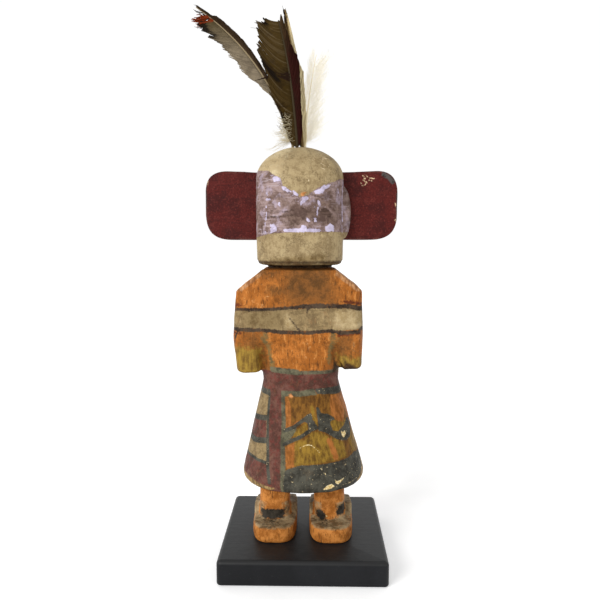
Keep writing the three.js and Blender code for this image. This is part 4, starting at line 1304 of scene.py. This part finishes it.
# %% Curved grey feather
grey_vane = feather_finish("grey_brown_feather", "847763", "493d22", "36281a", "2c2012", "8c7c60",
                           "d8cfb8", 0.3)
strands = Strands(curved, 23)
add_shaft(strands, 0.9, 0.3)
add_vane(strands, LEFT, 230, (0.0, 0.87), lean=1.4, ragged=0.14, front=-0.3, dark_spans=((0.56, 1.1, 0.5),),
         splits=((0.74, 1.4, 0.02), (0.52, 0.6, 0.02), (0.64, 1.2, 0.015)))
add_vane(strands, RIGHT, 210, (0.0, 0.985), lean=3.2, width=0.9, front=-0.3)
add_down(strands, LEFT, 60, (0.01, 0.12), 9, 0, 3.0, thick=0.14)
add_down(strands, LEFT, 14, (0.01, 0.05), 18, -3, 2.0, thick=0.16)
add_down(strands, LEFT, 26, (0.87, 0.92), 8.5, 6, 1.0, thick=0.9, kind=RUST_KIND, drift=0.7)
add_down(strands, LEFT, 12, (0.87, 0.91), 10.5, 6, 1.2, thick=0.5, kind=DARK_KIND, drift=0.6)
add_down(strands, LEFT, 16, (0.88, 0.97), 2.5, 5, 0.6, thick=0.4, kind=DARK_KIND, drift=0.3)
add_down(strands, RIGHT, 8, (0.96, 0.985), 1.2, 4, 0.3, thick=0.3, kind=DARK_KIND, drift=0.3)
strands.finish("curved_feather", grey_vane, "grey_feather", "feather_curved")

# %% Cream-edged feather
cream_vane = feather_finish("cream_edged_feather", "44361c", "4e3c22", "e2d0a2", "cdb98f", "7a6440",
                            "e8dfc6", 0.08)
strands = Strands(cream, 37)
add_shaft(strands, 0.9, 0.3)
add_vane(strands, LEFT, 190, (-0.02, 0.99), lean=2.0)
add_vane(strands, RIGHT, 190, (-0.02, 0.96), lean=2.2)
add_down(strands, LEFT, 22, (0.84, 0.97), 1.4, 6, 0.3, thick=0.4, kind=DARK_KIND, drift=0.3)
add_down(strands, RIGHT, 8, (0.9, 0.96), 1.0, 5, 0.3, thick=0.3, kind=DARK_KIND, drift=0.3)
strands.finish("cream_feather", cream_vane, "cream_feather", "feather_cream")

# %% White down plume
# The down glows with its own light: painted light for the light that shines through its fine white hairs
white_vane = feather_finish("white_down", "f0ece0", "f3f0e8", "f0ece0", "f3f0e8", "dcd2b6", "f2ede0",
                            0.0, 0.19)
strands = Strands(down, 53)
add_shaft(strands, 0.8, 0.2)
for fullness, long in ((0.75, 1.0), (1.0, 0.8)):
    add_down(strands, RIGHT, 260, (0.04, 0.9), 11.5 * fullness, 14 * long, 0.6, thick=0.16, drift=1.2)
    add_down(strands, LEFT, 150, (0.1, 0.95), 5 * fullness, 12 * long, 0.5, thick=0.14)
add_down(strands, RIGHT, 40, (0.02, 0.2), 14, 8, 0.8, thick=0.14)
add_down(strands, RIGHT, 18, (0.05, 0.35), 15, 14, 0.8, thick=0.3)
strands.finish("down_plume", white_vane, "white_down", "feather_down")

# %% [markdown]
# ## Studio
# The doll was photographed on white under large soft lights, the stronger one to its upper left. A
# pale floor runs on to the horizon. The surround is white behind the doll and greyer behind the
# photographer, so that the carving is modelled by the key light and not washed out.

# %% Floor
# Backdrop paper is matt and close to white, so it shows no edge and only a faint soft shadow
bm = bmesh.new()
bmesh.ops.create_grid(bm, x_segments=1, y_segments=1, size=6.0)
bmesh.ops.translate(bm, verts=bm.verts, vec=(0, 0, -0.2 * MM))
floor_mesh = to_mesh(bm, "floor")
floor = bpy.data.objects.new("floor", floor_mesh)
scene.collection.objects.link(floor)
paper = Finish("white_paper", "f6f6f6", roughness=0.9, specular=0.0)
paper.glow("ffffff", 0.32)
paper.wash("fcfcfc", paper.patches(40, 2), 0.3, 0.7)
floor_mesh.materials.append(paper.finished())

# %% Surround
world = bpy.data.worlds.new("white_surround")
world.use_nodes = True
scene.world = world
backdrop = world.node_tree.nodes["Background"]
backdrop.inputs["Color"].default_value = linear("ffffff")
sky_way = add_node(world.node_tree, "TexCoord", give="Generated")
behind_doll = add_node(world.node_tree, "SeparateXYZ", {0: sky_way}, give="Y")
surround = add_node(world.node_tree, "MapRange", {"Value": behind_doll, "From Min": -0.1,
                                                  "From Max": 0.6, "To Min": 0.4, "To Max": 1.02})
world.node_tree.links.new(surround, backdrop.inputs["Strength"])
print("surround", world.name)


# %% Lights
def soft_light(name, comes_from, strength, softness):
    """A light as even as a large panel far away, given by the direction that it comes from."""
    lamp = bpy.data.lights.new(name, "SUN")
    lamp.energy = strength
    lamp.angle = softness
    light = bpy.data.objects.new(name, lamp)
    light.rotation_euler = Vector(comes_from).to_track_quat("Z", "Y").to_euler()
    scene.collection.objects.link(light)
    print(name, strength)


soft_light("key_light", (-0.62, -0.72, 0.42), strength=2.3, softness=0.6)
soft_light("fill_light", (0.7, -0.7, 0.15), strength=0.5, softness=0.9)
